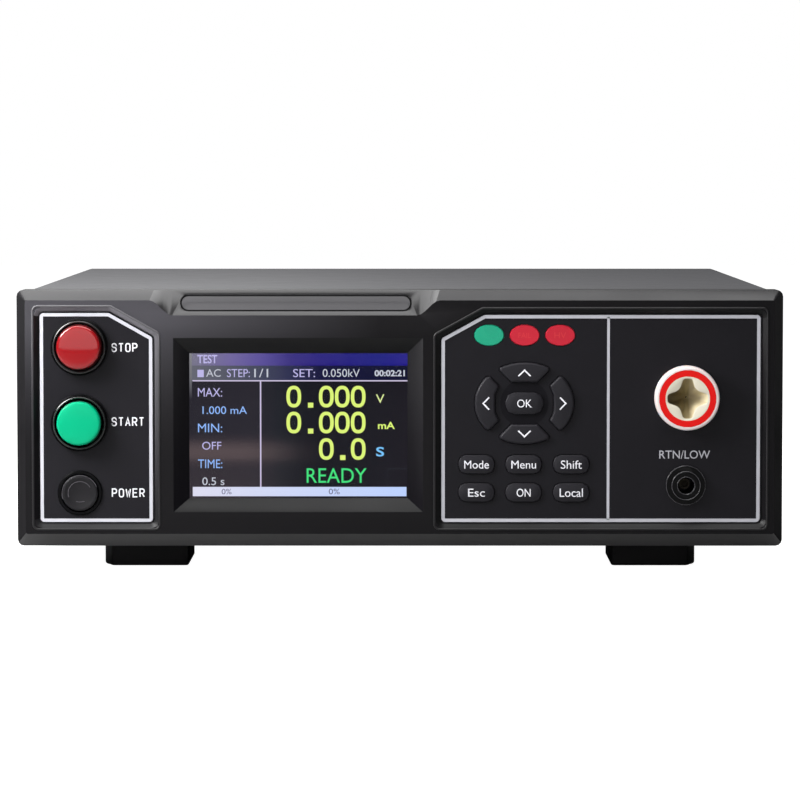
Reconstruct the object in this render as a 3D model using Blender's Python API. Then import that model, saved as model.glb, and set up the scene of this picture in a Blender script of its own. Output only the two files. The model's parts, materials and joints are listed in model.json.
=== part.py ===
"""Bench hipot tester: sheet-metal case behind a moulded front bezel with two sunk control plates.

Everything is modelled in the case's own frame, which hangs under one empty: X runs to the right, Y to
the back, Z up, with y = 0 on the bezel's rim and z = 0 on its bottom edge. All lengths are metres.
"""

import math

import bmesh
import bpy
from mathutils import Matrix, Vector

# Case
BEZEL_WIDTH = 0.430
BEZEL_HEIGHT = 0.144
BEZEL_DEPTH = 0.008
SKIRT_DEPTH = 0.016
RIM_RADIUS = 0.0036
FACE_RADIUS = 0.0012
CHAMFER_SIDE = 0.0053
CHAMFER_TOP = 0.0056
CHAMFER_BOTTOM = 0.0074
FACE_WALL = 0.0058
SHELL_WALL = 0.003
CASE_LENGTH = 0.480
COVER_STEP = 0.0015
COVER_RADIUS = 0.003
SHEET = 0.0012
CLEAR = 0.0003

# Printed lines round the two control plates
LINE_BOTTOM = 0.0149
LINE_RADIUS = 0.0012
LEFT_LINE_INSET = 0.0147
LEFT_LINE_LENGTH = 0.0611
LEFT_LINE_START = -BEZEL_WIDTH / 2 + LEFT_LINE_INSET
LEFT_LINE_X = (LEFT_LINE_START, LEFT_LINE_START + LEFT_LINE_LENGTH)
LEFT_LINE_DROP = 0.0137
LEFT_LINE_TOP = BEZEL_HEIGHT - LEFT_LINE_DROP
LEFT_CORNER_CUT = (0.0235, 0.0132)
RIGHT_LINE_INSET = 0.0138
RIGHT_LINE_LENGTH = 0.1766
RIGHT_LINE_END = BEZEL_WIDTH / 2 - RIGHT_LINE_INSET
RIGHT_LINE_X = (RIGHT_LINE_END - RIGHT_LINE_LENGTH, RIGHT_LINE_END)
RIGHT_LINE_DROP = 0.0148
RIGHT_LINE_TOP = BEZEL_HEIGHT - RIGHT_LINE_DROP
RIGHT_CORNER_CUT = (0.0233, 0.0128)
PLATE_MARGIN = 0.0016
POCKET_MARGIN = 0.0045
POCKET_DEPTH = 0.002
PLATE_SHEET = 0.002
LEDGE = 0.003

# Display, between the two plates
SCREEN_GAP_LEFT = 0.0211
SCREEN_GAP_RIGHT = 0.0203
SCREEN_X = (LEFT_LINE_X[1] + SCREEN_GAP_LEFT, RIGHT_LINE_X[0] - SCREEN_GAP_RIGHT)
SCREEN_BOTTOM = 0.0271
SCREEN_DROP = 0.0353
SCREEN_Z = (SCREEN_BOTTOM, BEZEL_HEIGHT - SCREEN_DROP)
SCREEN_BEVEL_SIDE = 0.0087
SCREEN_BEVEL_TOP = 0.0087
SCREEN_BEVEL_BOTTOM = 0.0074
WINDOW_OVERLAP = 0.003
WINDOW_SHEET = 0.0015
DISPLAY_OVERLAP = 0.006
DISPLAY_THICKNESS = 0.0088
DISPLAY_BOARD_INSET = 0.004
BOARD_SHEET = 0.0016

# Sloped band on top of the bezel, over the display, which carries the name strip
BAND_DROP = 0.014
BAND_PAST_LEFT = 0.0092
BAND_PAST_RIGHT = 0.0054
BAND_LEFT = SCREEN_X[0] - BAND_PAST_LEFT
BAND_RIGHT = SCREEN_X[1] + BAND_PAST_RIGHT
BAND_FLARE = 0.0127
BAND_STEPS = 6
STRIP_INSET_LEFT = 0.0045
STRIP_INSET_RIGHT = 0.0031
STRIP_X = (BAND_LEFT + STRIP_INSET_LEFT, BAND_RIGHT - STRIP_INSET_RIGHT)
STRIP_HEIGHT = 0.0104
STRIP_SHEET = 0.0006

# Sheet-metal plate behind the bezel's face
SUB_PLATE_SHEET = 0.0015
SUB_PLATE_MARGIN = 0.0018
KEY_WINDOW_MARGIN = 0.006

# Round push buttons
SWITCH_INSET = 0.0210
SWITCH_X = LEFT_LINE_X[0] + SWITCH_INSET
STOP_DROP = 0.0317
STOP_Z = BEZEL_HEIGHT - STOP_DROP
POWER_Z = 0.0303
START_SINK = 0.0015
START_Z = (STOP_Z + POWER_Z) / 2 - START_SINK
RING_RADIUS = 0.016
RING_HEIGHT = 0.0042
RING_FLOOR = 0.0007
RING_CHAMFER = 0.0006
RING_LIP = 0.0008
RING_WELL_RADIUS = 0.0144
CAP_REACH = 0.0105
CAP_WALL_RADIUS = 0.0132
CAP_EDGE_RADIUS = 0.0128
CAP_FACE_RADIUS = 0.01225
CAP_EDGE_DEPTH = 0.0012
CAP_CROWN = 0.0003
CAP_TRAVEL = 0.0025
NECK_RADIUS = 0.011
NECK_LENGTH = 0.028
STEM_RADIUS = 0.0074
STEM_LENGTH = 0.0138
SWITCH_PLAY = 0.0004
STOP_DEPTH = 0.0045
NUT_WIDTH = 0.027
NUT_HEIGHT = 0.004
BLOCK_WIDTH = 0.024
BLOCK_LENGTH = 0.020
BLOCK_OVERLAP = 0.006
TERMINAL_LENGTH = 0.008
POWER_RING_RADIUS = 0.0127
POWER_RING_HEIGHT = 0.0012
POWER_WELL_RADIUS = 0.0109
POWER_CAP_RADIUS = 0.0103
POWER_CAP_EDGE = 0.0012
POWER_CAP_REACH = 0.0022
POWER_CAP_LENGTH = 0.009
POWER_NECK_RADIUS = 0.0118
POWER_STEM_RADIUS = 0.0045
POWER_PRESS = 0.0008

# Keys
KEY_WIDTH = 0.0202
KEY_HEIGHT = 0.0104
KEY_RADIUS = 0.0042
OK_WIDTH = 0.0213
OK_HEIGHT = 0.0122
OK_RADIUS = 0.0052
KEY_COLUMNS = tuple(RIGHT_LINE_X[0] + offset for offset in (0.0184, 0.0448, 0.0715))
KEY_ROWS = (0.0464, 0.0306)
PAD_INSET = 0.0452
PAD_DROP = 0.0633
PAD_CENTRE = (RIGHT_LINE_X[0] + PAD_INSET, BEZEL_HEIGHT - PAD_DROP)
PAD_OUTER = (0.028, 0.023)
PAD_INNER = (0.0164, 0.0119)
PAD_INNER_POWER = 4.0
PAD_GAP = 0.0031
PAD_DIAGONAL = math.radians(45.0)
PAD_BLUNT = 0.14
PAD_CORNER_SHARE = 0.35
PAD_OUTER_STEPS = 8
PAD_INNER_STEPS = 4
PAD_HALVINGS = 40
KEY_REACH = 0.0022
KEY_SLOPE = 0.0009
KEY_CROWN = 0.0008
KEY_PLAY = 0.0003
KEY_FLANGE = 0.0009
KEY_FLANGE_SHEET = 0.0009
KEY_TRAVEL = 0.0012
KEY_STEM_SCALE = 0.36
KEY_BOARD_Y = 0.006
POST_RADIUS = 0.0028
POST_INSET = 0.0035
DOME_RADIUS = 0.0022
DOME_HEIGHT = 0.0008

# Lamp windows
LENS_HALF = (0.0084, 0.0059)
LENS_DROP = 0.0252
LENS_Z = BEZEL_HEIGHT - LENS_DROP
LENS_X = tuple(RIGHT_LINE_X[0] + offset for offset in (0.0254, 0.0453, 0.0652))
LENS_REACH = 0.0003
LENS_FLANGE = 0.001

# High-voltage socket
HV_INSET = 0.0405
HV_DROP = 0.0602
HV_X = RIGHT_LINE_X[1] - HV_INSET
HV_Z = BEZEL_HEIGHT - HV_DROP
HV_RADIUS = 0.018
HV_BASE_RADIUS = 0.0183
HV_REACH = 0.009
HV_CHAMFER = 0.0008
HV_NECK_RADIUS = 0.0135
HV_NECK_LENGTH = 0.036
HV_RING_INNER = 0.01235
HV_RING_OUTER = 0.016
HV_RING_DEPTH = 0.0012
HV_STAR_REACH = 0.0108
HV_STAR_TIP = 0.0029
HV_STAR_TIP_RADIUS = 0.0022
HV_STAR_ROOT = 0.0041
HV_STAR_ROOT_RADIUS = 0.003
HV_STAR_DEPTH = 0.014
HV_BORE_RADIUS = 0.0062
HV_HOLE_DEPTH = 0.039
HV_PIN_RADIUS = 0.002
HV_PIN_LENGTH = 0.014
PIN_TAIL = 0.006
PIN_PLAY = 0.0003

# Return socket
RETURN_INSET = 0.0409
RETURN_X = RIGHT_LINE_X[1] - RETURN_INSET
RETURN_Z = 0.0347
RETURN_FLANGE_RADIUS = 0.01125
RETURN_FLANGE_HEIGHT = 0.0018
RETURN_COLLAR_RADIUS = 0.008
RETURN_COLLAR_HEIGHT = 0.0045
RETURN_MOUTH_RADIUS = 0.0046
RETURN_MOUTH_DEPTH = 0.024
RETURN_NECK_RADIUS = 0.0066
RETURN_NECK_LENGTH = 0.024
RETURN_CONTACT_RADIUS = 0.003
RETURN_CONTACT_BORE = 0.00205
RETURN_CONTACT_LENGTH = 0.009
SOCKET_NUT_WALL = 0.004
SOCKET_NUT_HEIGHT = 0.004

# Feet
FOOT_DROP = 0.0135
FOOT_WIDTH = 0.0484
FOOT_INSET = 0.071
FOOT_CENTRE_X = BEZEL_WIDTH / 2 - FOOT_INSET
FOOT_LENGTH = 0.060
FOOT_FRONT_Y = 0.022
REAR_FOOT_Y = 0.390
FOOT_CORNER_CUT = (0.0044, 0.011)
FOOT_RADIUS = 0.002
LEG_WIDTH = 0.034
LEG_LENGTH = 0.038
LEG_SHEET = 0.0044
LEG_LIFT = 0.0006
LEG_PLAY = 0.0006
LEG_PIN_RADIUS = 0.0012
LEG_PIN_LENGTH = 0.002

# Cover vents
VENT_COUNT = 10
VENT_PITCH = 0.010
VENT_WIDTH = 0.0035
VENT_HEIGHT = 0.052
VENT_FIRST_Y = 0.330
VENT_Z = 0.072

# Chassis tray and what stands on it
TRAY_LIP = 0.026
STANDOFF_HEIGHT = 0.010
STANDOFF_RADIUS = 0.004
CORE_WIDTH = 0.102
CORE_HEIGHT = 0.085
CORE_STACK = 0.052
CORE_LEG = 0.034
CORE_YOKE = 0.017
CORE_INSET = 0.105
CORE_Y = 0.250
CORE_CENTRE = (-BEZEL_WIDTH / 2 + CORE_INSET, CORE_Y)
CORE_FLANGE = 0.012
CORE_FLANGE_SHEET = 0.003
CORE_FLANGE_SHARE = 0.8
WINDING_PLAY = 0.0006
WINDING_RADIUS = 0.006
CORE_RIGHT = CORE_CENTRE[0] + CORE_WIDTH / 2 + CORE_FLANGE
BOARD_SPACE_LEFT = 0.067
BOARD_SPACE_RIGHT = 0.025
BOARD_FRONT = 0.120
BOARD_REAR = 0.360
MAIN_BOARD_X = (CORE_RIGHT + BOARD_SPACE_LEFT, BEZEL_WIDTH / 2 - BOARD_SPACE_RIGHT)
MAIN_BOARD_Y = (BOARD_FRONT, BOARD_REAR)
MAIN_BOARD_INSET = 0.008
SINK_WIDTH = 0.080
SINK_LENGTH = 0.060
SINK_BASE = 0.006
SINK_FIN_HEIGHT = 0.034
SINK_FIN = 0.0024
SINK_FINS = 8
SINK_Y = 0.300
SINK_CENTRE = (sum(MAIN_BOARD_X) / 2, SINK_Y)
RELAY_SIZE = (0.028, 0.012, 0.018)
RELAY_INSET = 0.030
RELAY_FIRST_Y = 0.160
RELAY_PITCH = 0.025
RELAY_COUNT = 3
CAPACITOR_RADIUS = 0.011
CAPACITOR_HEIGHT = 0.032
CAPACITOR_INSET = 0.040
CAPACITOR_FIRST_Y = 0.170
CAPACITOR_PITCH = 0.030
CAPACITOR_COUNT = 2

# Rear panel and what it carries
REAR_INSET = 0.006
REAR_SHEET = 0.0015
REAR_RADIUS = 0.002
FAN_INSET = 0.085
FAN_X = -BEZEL_WIDTH / 2 + FAN_INSET
FAN_Z = 0.072
FAN_SIZE = 0.080
FAN_DEPTH = 0.025
FAN_WALL = 0.002
FAN_DUCT_RADIUS = FAN_SIZE / 2 - FAN_WALL
FAN_CORNER = 0.005
FAN_SCREW_INSET = 0.00425
FAN_HUB_RADIUS = 0.0165
FAN_ROOT_RADIUS = 0.014
FAN_MOUNT = 0.003
FAN_STRUT = 0.005
FAN_STRUT_ROOT = 0.0132
FAN_BLADES = 7
FAN_BLADE_STATIONS = 3
FAN_TIP_GAP = 0.001
FAN_BLADE_SHEET = 0.0014
FAN_BLADE_CHORD = 0.019
FAN_ROOT_PITCH = math.radians(48.0)
FAN_TIP_PITCH = math.radians(32.0)
FAN_SWEEP = math.radians(16.0)
FAN_ROTOR_DEPTH = 0.017
GUARD_OVERLAP = 0.0035
GUARD_OUTER = FAN_DUCT_RADIUS + GUARD_OVERLAP
GUARD_RING_COUNT = 4
GUARD_BAR = 0.0018
GUARD_LUG = 0.003
INLET_INSET = 0.050
INLET_X = BEZEL_WIDTH / 2 - INLET_INSET
INLET_Z = 0.040
INLET_WIDTH = 0.060
INLET_HEIGHT = 0.034
INLET_FLANGE = 0.0025
INLET_BODY = (0.046, 0.028)
INLET_BODY_DEPTH = 0.030
INLET_MOUTH = (0.0245, 0.0165)
INLET_MOUTH_DEPTH = 0.018
INLET_MOUTH_X = 0.0085
INLET_MOUTH_CUT = 0.0045
PIN_SIZE = (0.002, 0.004)
PIN_REACH = 0.013
PIN_SPREAD = 0.007
DRAWER_SIZE = (0.009, 0.020)
DRAWER_X = -0.0145
DRAWER_DEPTH = 0.022
DRAWER_REACH = 0.0025
EARTH_SPACE = 0.057
EARTH_X = INLET_X - EARTH_SPACE
EARTH_Z = 0.030
STUD_RADIUS = 0.0025
STUD_REACH = 0.0135
STUD_BASE_RADIUS = 0.006
STUD_BASE = 0.003
STUD_TAIL = 0.010
STUD_TIP_RADIUS = 0.0019
STUD_TIP_LENGTH = 0.0006
KNOB_RADIUS = 0.0065
KNOB_LENGTH = 0.008
KNOB_RIBS = 9
KNOB_RIB_DEPTH = 0.0007
PORT_Z = 0.040
SERIAL_WIDTH = 0.031
CONTROL_WIDTH = 0.053
PORTS_FROM = FAN_X + FAN_SIZE / 2
PORTS_TO = EARTH_X - KNOB_RADIUS
PORT_SPACE = (PORTS_TO - PORTS_FROM - CONTROL_WIDTH - SERIAL_WIDTH) / 3
CONTROL_X = PORTS_FROM + PORT_SPACE + CONTROL_WIDTH / 2
SERIAL_X = PORTS_TO - PORT_SPACE - SERIAL_WIDTH / 2
PORT_HEIGHT = 0.0125
PORT_FLANGE = 0.001
PORT_SHELL = (0.0085, 0.0079)
PORT_SHELL_REACH = 0.0055
PORT_WALL = 0.0008
PORT_SLANT = 0.0012
PORT_TONGUE_SCALE = 0.72
PORT_TONGUE_REACH = 0.0044
PORT_BODY_DEPTH = 0.010

# Facets
FINE = 24
COARSE = 16
SMALL = 12
CORNER_STEPS = 3

# Planes that several pieces share
PLATE_FRONT = -BEZEL_DEPTH + POCKET_DEPTH
PLATE_BACK = PLATE_FRONT + PLATE_SHEET
FACE_BACK = -BEZEL_DEPTH + FACE_WALL
SUB_FRONT = FACE_BACK + CLEAR
SUB_BACK = SUB_FRONT + SUB_PLATE_SHEET
SEAT_FRONT = PLATE_FRONT - CLEAR
TRAY_BOTTOM = COVER_STEP
TRAY_TOP = TRAY_BOTTOM + SHEET
TRAY_HALF = BEZEL_WIDTH / 2 - COVER_STEP - SHEET - CLEAR
REAR_OUTER = CASE_LENGTH - REAR_INSET
REAR_INNER = REAR_OUTER - REAR_SHEET
FRONT_REACH = -PLATE_FRONT + CAP_REACH
REAR_REACH = REAR_OUTER + CLEAR + STUD_BASE + STUD_REACH - CASE_LENGTH
BOARD_Z = TRAY_TOP + STANDOFF_HEIGHT + CLEAR


def clear_scene():
    for obj in list(bpy.data.objects):
        bpy.data.objects.remove(obj)


def case_frame():
    """The empty that stands the case on its feet and centres it front to back."""
    empty = bpy.data.objects.new("tester", None)
    empty.location = (0.0, (FRONT_REACH - REAR_REACH - CASE_LENGTH) / 2, FOOT_DROP)
    bpy.context.scene.collection.objects.link(empty)
    return empty


def material(name, colour, roughness, metallic=0.0):
    found = bpy.data.materials.get(name)
    if found:
        return found
    made = bpy.data.materials.new(name)
    made.use_nodes = True
    made.diffuse_color = (*colour, 1.0)
    shader = made.node_tree.nodes["Principled BSDF"]
    shader.inputs["Base Color"].default_value = (*colour, 1.0)
    shader.inputs["Roughness"].default_value = roughness
    shader.inputs["Metallic"].default_value = metallic
    return made


clear_scene()
CASE = case_frame()
BEZEL_PLASTIC = material("bezel_plastic", (0.050, 0.050, 0.056), 0.5)
PLATE_PLASTIC = material("control_plate", (0.020, 0.020, 0.026), 0.45)
BLACK_PLASTIC = material("black_plastic", (0.012, 0.012, 0.013), 0.45)
KEY_RUBBER = material("key_plastic", (0.035, 0.035, 0.040), 0.55)
RED_PLASTIC = material("red_plastic", (0.62, 0.010, 0.020), 0.3)
GREEN_PLASTIC = material("green_plastic", (0.005, 0.48, 0.25), 0.3)
WHITE_PLASTIC = material("white_plastic", (0.80, 0.77, 0.70), 0.4)
CLEAR_PANE = material("window_pane", (0.02, 0.02, 0.025), 0.08)
PAINTED_STEEL = material("painted_steel", (0.115, 0.115, 0.120), 0.5, 0.1)
BARE_STEEL = material("zinc_steel", (0.55, 0.55, 0.56), 0.4, 1.0)
BRASS = material("brass", (0.75, 0.56, 0.25), 0.35, 1.0)
BOARD_GREEN = material("circuit_board", (0.02, 0.16, 0.06), 0.5)
ALUMINIUM = material("aluminium", (0.72, 0.73, 0.75), 0.35, 1.0)
COPPER = material("winding_tape", (0.62, 0.42, 0.08), 0.5)
FOOT_RUBBER = material("foot_plastic", (0.008, 0.008, 0.009), 0.6)


def mesh_object(name, bm, at):
    bmesh.ops.recalc_face_normals(bm, faces=bm.faces)
    mesh = bpy.data.meshes.new(name)
    bm.to_mesh(mesh)
    bm.free()
    obj = bpy.data.objects.new(name, mesh)
    obj.location = at
    obj.parent = CASE
    bpy.context.scene.collection.objects.link(obj)
    return obj


def part(name, bm, finish, at=(0.0, 0.0, 0.0)):
    """A named piece whose mesh is in bm, measured from the point at."""
    obj = mesh_object(name, bm, at)
    obj.data.materials.append(finish)
    obj.data.shade_smooth()
    obj.data.set_sharp_from_angle(angle=math.radians(35.0))
    return obj


def tool_body(name, bm, at=(0.0, 0.0, 0.0)):
    """A body that only cuts or thickens a piece and is no piece itself."""
    obj = mesh_object(name, bm, at)
    obj.hide_render = True
    obj.display_type = "WIRE"
    return obj


def combine(obj, other, operation):
    boolean = obj.modifiers.new(other.name, "BOOLEAN")
    boolean.operation = operation
    boolean.solver = "EXACT"
    boolean.object = other


def cut(obj, bm, name, at=(0.0, 0.0, 0.0)):
    combine(obj, tool_body(name, bm, at), "DIFFERENCE")


def fuse(obj, bm, name, at=(0.0, 0.0, 0.0)):
    combine(obj, tool_body(name, bm, at), "UNION")


def rounded(corners, steps=CORNER_STEPS):
    """An outline through (x, z, radius) corners, each with its arc."""
    points = []
    count = len(corners)
    for index, (x, z, radius) in enumerate(corners):
        here = Vector((x, z))
        if radius <= 0:
            points.append(here)
            continue
        before = (Vector(corners[index - 1][:2]) - here).normalized()
        after = (Vector(corners[(index + 1) % count][:2]) - here).normalized()
        half = before.angle(after) / 2
        centre = here + (before + after).normalized() * radius / math.sin(half)
        start = here + before * radius / math.tan(half) - centre
        end = here + after * radius / math.tan(half) - centre
        turn = start.angle_signed(end)
        for step in range(steps + 1):
            points.append(centre + Matrix.Rotation(-turn * step / steps, 2) @ start)
    return points


def rectangle(x_range, z_range, radius=0.0, steps=CORNER_STEPS):
    (left, right), (bottom, top) = x_range, z_range
    corners = ((left, bottom), (right, bottom), (right, top), (left, top))
    return rounded([(x, z, radius) for x, z in corners], steps)


def centred(width, height, radius=0.0, steps=CORNER_STEPS, at=(0.0, 0.0)):
    x, z = at
    return rectangle((x - width / 2, x + width / 2), (z - height / 2, z + height / 2), radius, steps)


def circle(radius, steps=FINE, at=(0.0, 0.0)):
    return ellipse((radius, radius), steps, at)


def ellipse(half, steps=FINE, at=(0.0, 0.0)):
    turns = [2 * math.pi * (step + 0.5) / steps for step in range(steps)]
    return [Vector((at[0] + half[0] * math.cos(t), at[1] + half[1] * math.sin(t))) for t in turns]


def grown(outline, by):
    """The outline with each side moved outwards by the same distance."""
    points = []
    for index, here in enumerate(outline):
        along_in = (here - outline[index - 1]).normalized()
        along_out = (outline[(index + 1) % len(outline)] - here).normalized()
        out_in = Vector((along_in.y, -along_in.x))
        out_out = Vector((along_out.y, -along_out.x))
        middle = (out_in + out_out).normalized()
        points.append(here + middle * by / middle.dot(out_in))
    return points


def scaled(outline, factor):
    middle = sum(outline, Vector((0.0, 0.0))) / len(outline)
    return [middle + (point - middle) * factor for point in outline]


def facing(outline, y):
    """An outline in X and Z, placed at depth y."""
    return [Vector((point.x, y, point.y)) for point in outline]


def level(outline, z):
    """An outline in X and Y, placed at height z."""
    return [Vector((point.x, point.y, z)) for point in outline]


def sideways(outline, x):
    """An outline in Y and Z, placed at x."""
    return [Vector((x, point.x, point.y)) for point in outline]


def loft(bm, rings, closed=False):
    """Skin over rings of equal count, with a cap at each end unless the last meets the first."""
    rows = [[bm.verts.new(point) for point in ring] for ring in rings]
    if closed:
        rows.append(rows[0])
    for low, high in zip(rows, rows[1:]):
        for index in range(len(low)):
            after = (index + 1) % len(low)
            bm.faces.new((low[index], low[after], high[after], high[index]))
    if not closed:
        bm.faces.new(rows[0])
        bm.faces.new(rows[-1])
    return bm


def prism(outline, start, end, lay=facing, bm=None):
    return loft(bm or bmesh.new(), [lay(outline, start), lay(outline, end)])


def turned(profile, steps=FINE, closed=False, lay=facing, bm=None):
    """A body turned from (radius, distance) points; closed for one with a bore."""
    rings = [lay(circle(radius, steps), distance) for radius, distance in profile]
    return loft(bm or bmesh.new(), rings, closed)


def block(x_range, y_range, z_range, bm=None):
    return prism(rectangle(x_range, z_range), *y_range, bm=bm)


def box_at(centre, size, z_range, bm=None):
    x_range, y_range = [(middle - side / 2, middle + side / 2) for middle, side in zip(centre, size)]
    return block(x_range, y_range, z_range, bm)


def panel_line(x_range, top, corner_cut, corner_on_right):
    """The printed line of a control plate, whose upper inner corner is cut off."""
    left, right = x_range
    cut_x, cut_z = corner_cut
    bottom_row = [(left, LINE_BOTTOM), (right, LINE_BOTTOM)]
    if corner_on_right:
        top_row = [(right, top - cut_z), (right - cut_x, top), (left, top)]
    else:
        top_row = [(right, top), (left + cut_x, top), (left, top - cut_z)]
    return rounded([(x, z, LINE_RADIUS) for x, z in bottom_row + top_row], 2)


LEFT_LINE = panel_line(LEFT_LINE_X, LEFT_LINE_TOP, LEFT_CORNER_CUT, True)
RIGHT_LINE = panel_line(RIGHT_LINE_X, RIGHT_LINE_TOP, RIGHT_CORNER_CUT, False)


def bezel_outline(side, bottom, top, band_drop, radius):
    """The bezel's outline, inset on each side, with the band's dip in its top edge."""
    half = BEZEL_WIDTH / 2 - side
    high = BEZEL_HEIGHT - top
    dip = BEZEL_HEIGHT - band_drop
    return rounded(
        [
            (-half, bottom, radius),
            (half, bottom, radius),
            (half, high, radius),
            *reversed(flare(BAND_RIGHT, 1, dip, high)),
            *flare(BAND_LEFT, -1, dip, high),
            (-half, high, radius),
        ]
    )


def flare(start, side, dip, high):
    """The band's end, which rises from the dip to the bezel's top edge in an S-curve."""
    points = []
    for step in range(BAND_STEPS + 1):
        share = step / BAND_STEPS
        rise = share * share * (3 - 2 * share)
        points.append((start + side * BAND_FLARE * share, dip + (high - dip) * rise, 0.0))
    return points


def bezel_shell(inset, back, front):
    """The bezel's outer form, or with an inset the hollow inside it."""
    rim = bezel_outline(inset, inset, inset, inset, RIM_RADIUS - inset / 2)
    face = bezel_outline(
        CHAMFER_SIDE + inset, CHAMFER_BOTTOM + inset, CHAMFER_TOP + inset, BAND_DROP + inset, FACE_RADIUS
    )
    return loft(bmesh.new(), [facing(rim, back), facing(rim, 0.0), facing(face, front)])


def plate_pocket(line):
    """The sunk seat of a control plate: sloped edge, straight seat, and the window behind it."""
    edge = grown(line, POCKET_MARGIN)
    seat = grown(line, PLATE_MARGIN + CLEAR)
    window = grown(line, PLATE_MARGIN - LEDGE)
    past = SHELL_WALL
    rings = [
        facing(edge, -BEZEL_DEPTH - past),
        facing(edge, -BEZEL_DEPTH),
        facing(seat, PLATE_FRONT),
        facing(seat, PLATE_BACK + CLEAR),
        facing(window, PLATE_BACK + CLEAR),
        facing(window, FACE_BACK + past),
    ]
    return loft(bmesh.new(), rings)


def screen_funnel():
    """The display's recess, which narrows from the face to the visible screen."""
    outer = rectangle(
        (SCREEN_X[0] - SCREEN_BEVEL_SIDE, SCREEN_X[1] + SCREEN_BEVEL_SIDE),
        (SCREEN_Z[0] - SCREEN_BEVEL_BOTTOM, SCREEN_Z[1] + SCREEN_BEVEL_TOP),
    )
    inner = rectangle(SCREEN_X, SCREEN_Z)
    rings = [
        facing(outer, -BEZEL_DEPTH - SHELL_WALL),
        facing(outer, -BEZEL_DEPTH),
        facing(inner, FACE_BACK),
        facing(inner, FACE_BACK + SHELL_WALL),
    ]
    return loft(bmesh.new(), rings)


def strip_outline(margin=0.0):
    width, height = STRIP_X[1] - STRIP_X[0] + 2 * margin, STRIP_HEIGHT + 2 * margin
    return centred(width, height, height / 2 - CLEAR, 6)


def band_slope():
    """The strip's middle on the sloped band, and the turn that lays a plate on it."""
    run, rise = BEZEL_DEPTH, BAND_DROP
    middle = Vector((sum(STRIP_X) / 2, -run / 2, BEZEL_HEIGHT - rise / 2))
    return middle, -math.atan2(run, rise)


def on_band(bm):
    middle, tilt = band_slope()
    bm.transform(Matrix.Translation(middle) @ Matrix.Rotation(tilt, 4, "X"))
    return bm


def front_bezel():
    bezel = part("front_bezel", bezel_shell(0.0, SKIRT_DEPTH, -BEZEL_DEPTH), BEZEL_PLASTIC)
    cut(bezel, bezel_shell(SHELL_WALL, SKIRT_DEPTH + SHELL_WALL, FACE_BACK), "bezel_hollow")
    openings = plate_pocket(LEFT_LINE)
    for pocket in (plate_pocket(RIGHT_LINE), screen_funnel()):
        merge_into(openings, pocket)
    cut(bezel, openings, "bezel_openings")
    slot = prism(strip_outline(CLEAR), -SHELL_WALL, STRIP_SHEET + CLEAR)
    cut(bezel, on_band(slot), "strip_slot")


def merge_into(bm, other):
    """Adds the other mesh to bm and frees it."""
    mesh = bpy.data.meshes.new("merged")
    other.to_mesh(mesh)
    other.free()
    bm.from_mesh(mesh)
    bpy.data.meshes.remove(mesh)
    return bm


def name_strip():
    part("name_strip", on_band(prism(strip_outline(), 0.0, STRIP_SHEET)), PLATE_PLASTIC)


def pad_crossing(half, power, side):
    """Where the edge of a diagonal gap meets an outline |x/a|^p + |z/b|^p = 1 of the arrow pad."""
    along = Vector((math.cos(PAD_DIAGONAL), math.sin(PAD_DIAGONAL)))
    across = Vector((-along.y, along.x)) * side * PAD_GAP
    low, high = 0.0, 2 * max(half)
    for _ in range(PAD_HALVINGS):
        middle = (low + high) / 2
        point = along * middle + across
        inside = abs(point.x / half[0]) ** power + abs(point.y / half[1]) ** power < 1
        low, high = (middle, high) if inside else (low, middle)
    return along * low + across


def pad_arc(half, power, start, end, steps):
    """Points of the outline |x/a|^p + |z/b|^p = 1 between two of its points, by polar angle."""
    first, last = (math.atan2(point.y, point.x) for point in (start, end))
    points = []
    for step in range(steps + 1):
        angle = first + (last - first) * step / steps
        x, z = math.cos(angle), math.sin(angle)
        reach = (abs(x / half[0]) ** power + abs(z / half[1]) ** power) ** (-1 / power)
        points.append(Vector((x * reach, z * reach)))
    return points


def arrow_outline(direction):
    """An arrow key: a slice of the oval pad between two diagonal gaps, with blunt corners."""
    if direction in ("up", "down"):
        outer_end = pad_crossing(PAD_OUTER, 2.0, 1)
        inner_end = pad_crossing(PAD_INNER, PAD_INNER_POWER, 1)
        mirror = Vector((-1.0, 1.0))
    else:
        outer_end = pad_crossing(PAD_OUTER, 2.0, -1)
        inner_end = pad_crossing(PAD_INNER, PAD_INNER_POWER, -1)
        mirror = Vector((1.0, -1.0))
    outer_start, inner_start = outer_end * mirror, inner_end * mirror
    if direction in ("up", "down"):
        outer_start, outer_end = outer_end, outer_start
        inner_start, inner_end = inner_end, inner_start
    outer = pad_arc(PAD_OUTER, 2.0, outer_start, outer_end, PAD_OUTER_STEPS)
    inner = pad_arc(PAD_INNER, PAD_INNER_POWER, inner_end, inner_start, PAD_INNER_STEPS)
    outer[0] = outer[0].lerp(outer[1], PAD_CORNER_SHARE)
    outer[-1] = outer[-1].lerp(outer[-2], PAD_CORNER_SHARE)
    first = inner_start.lerp(outer_start, 1 - PAD_BLUNT)
    last = inner_end.lerp(outer_end, 1 - PAD_BLUNT)
    outline = [first] + outer + [last] + inner
    if direction in ("down", "left"):
        outline = [-point for point in outline]
    return outline


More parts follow.
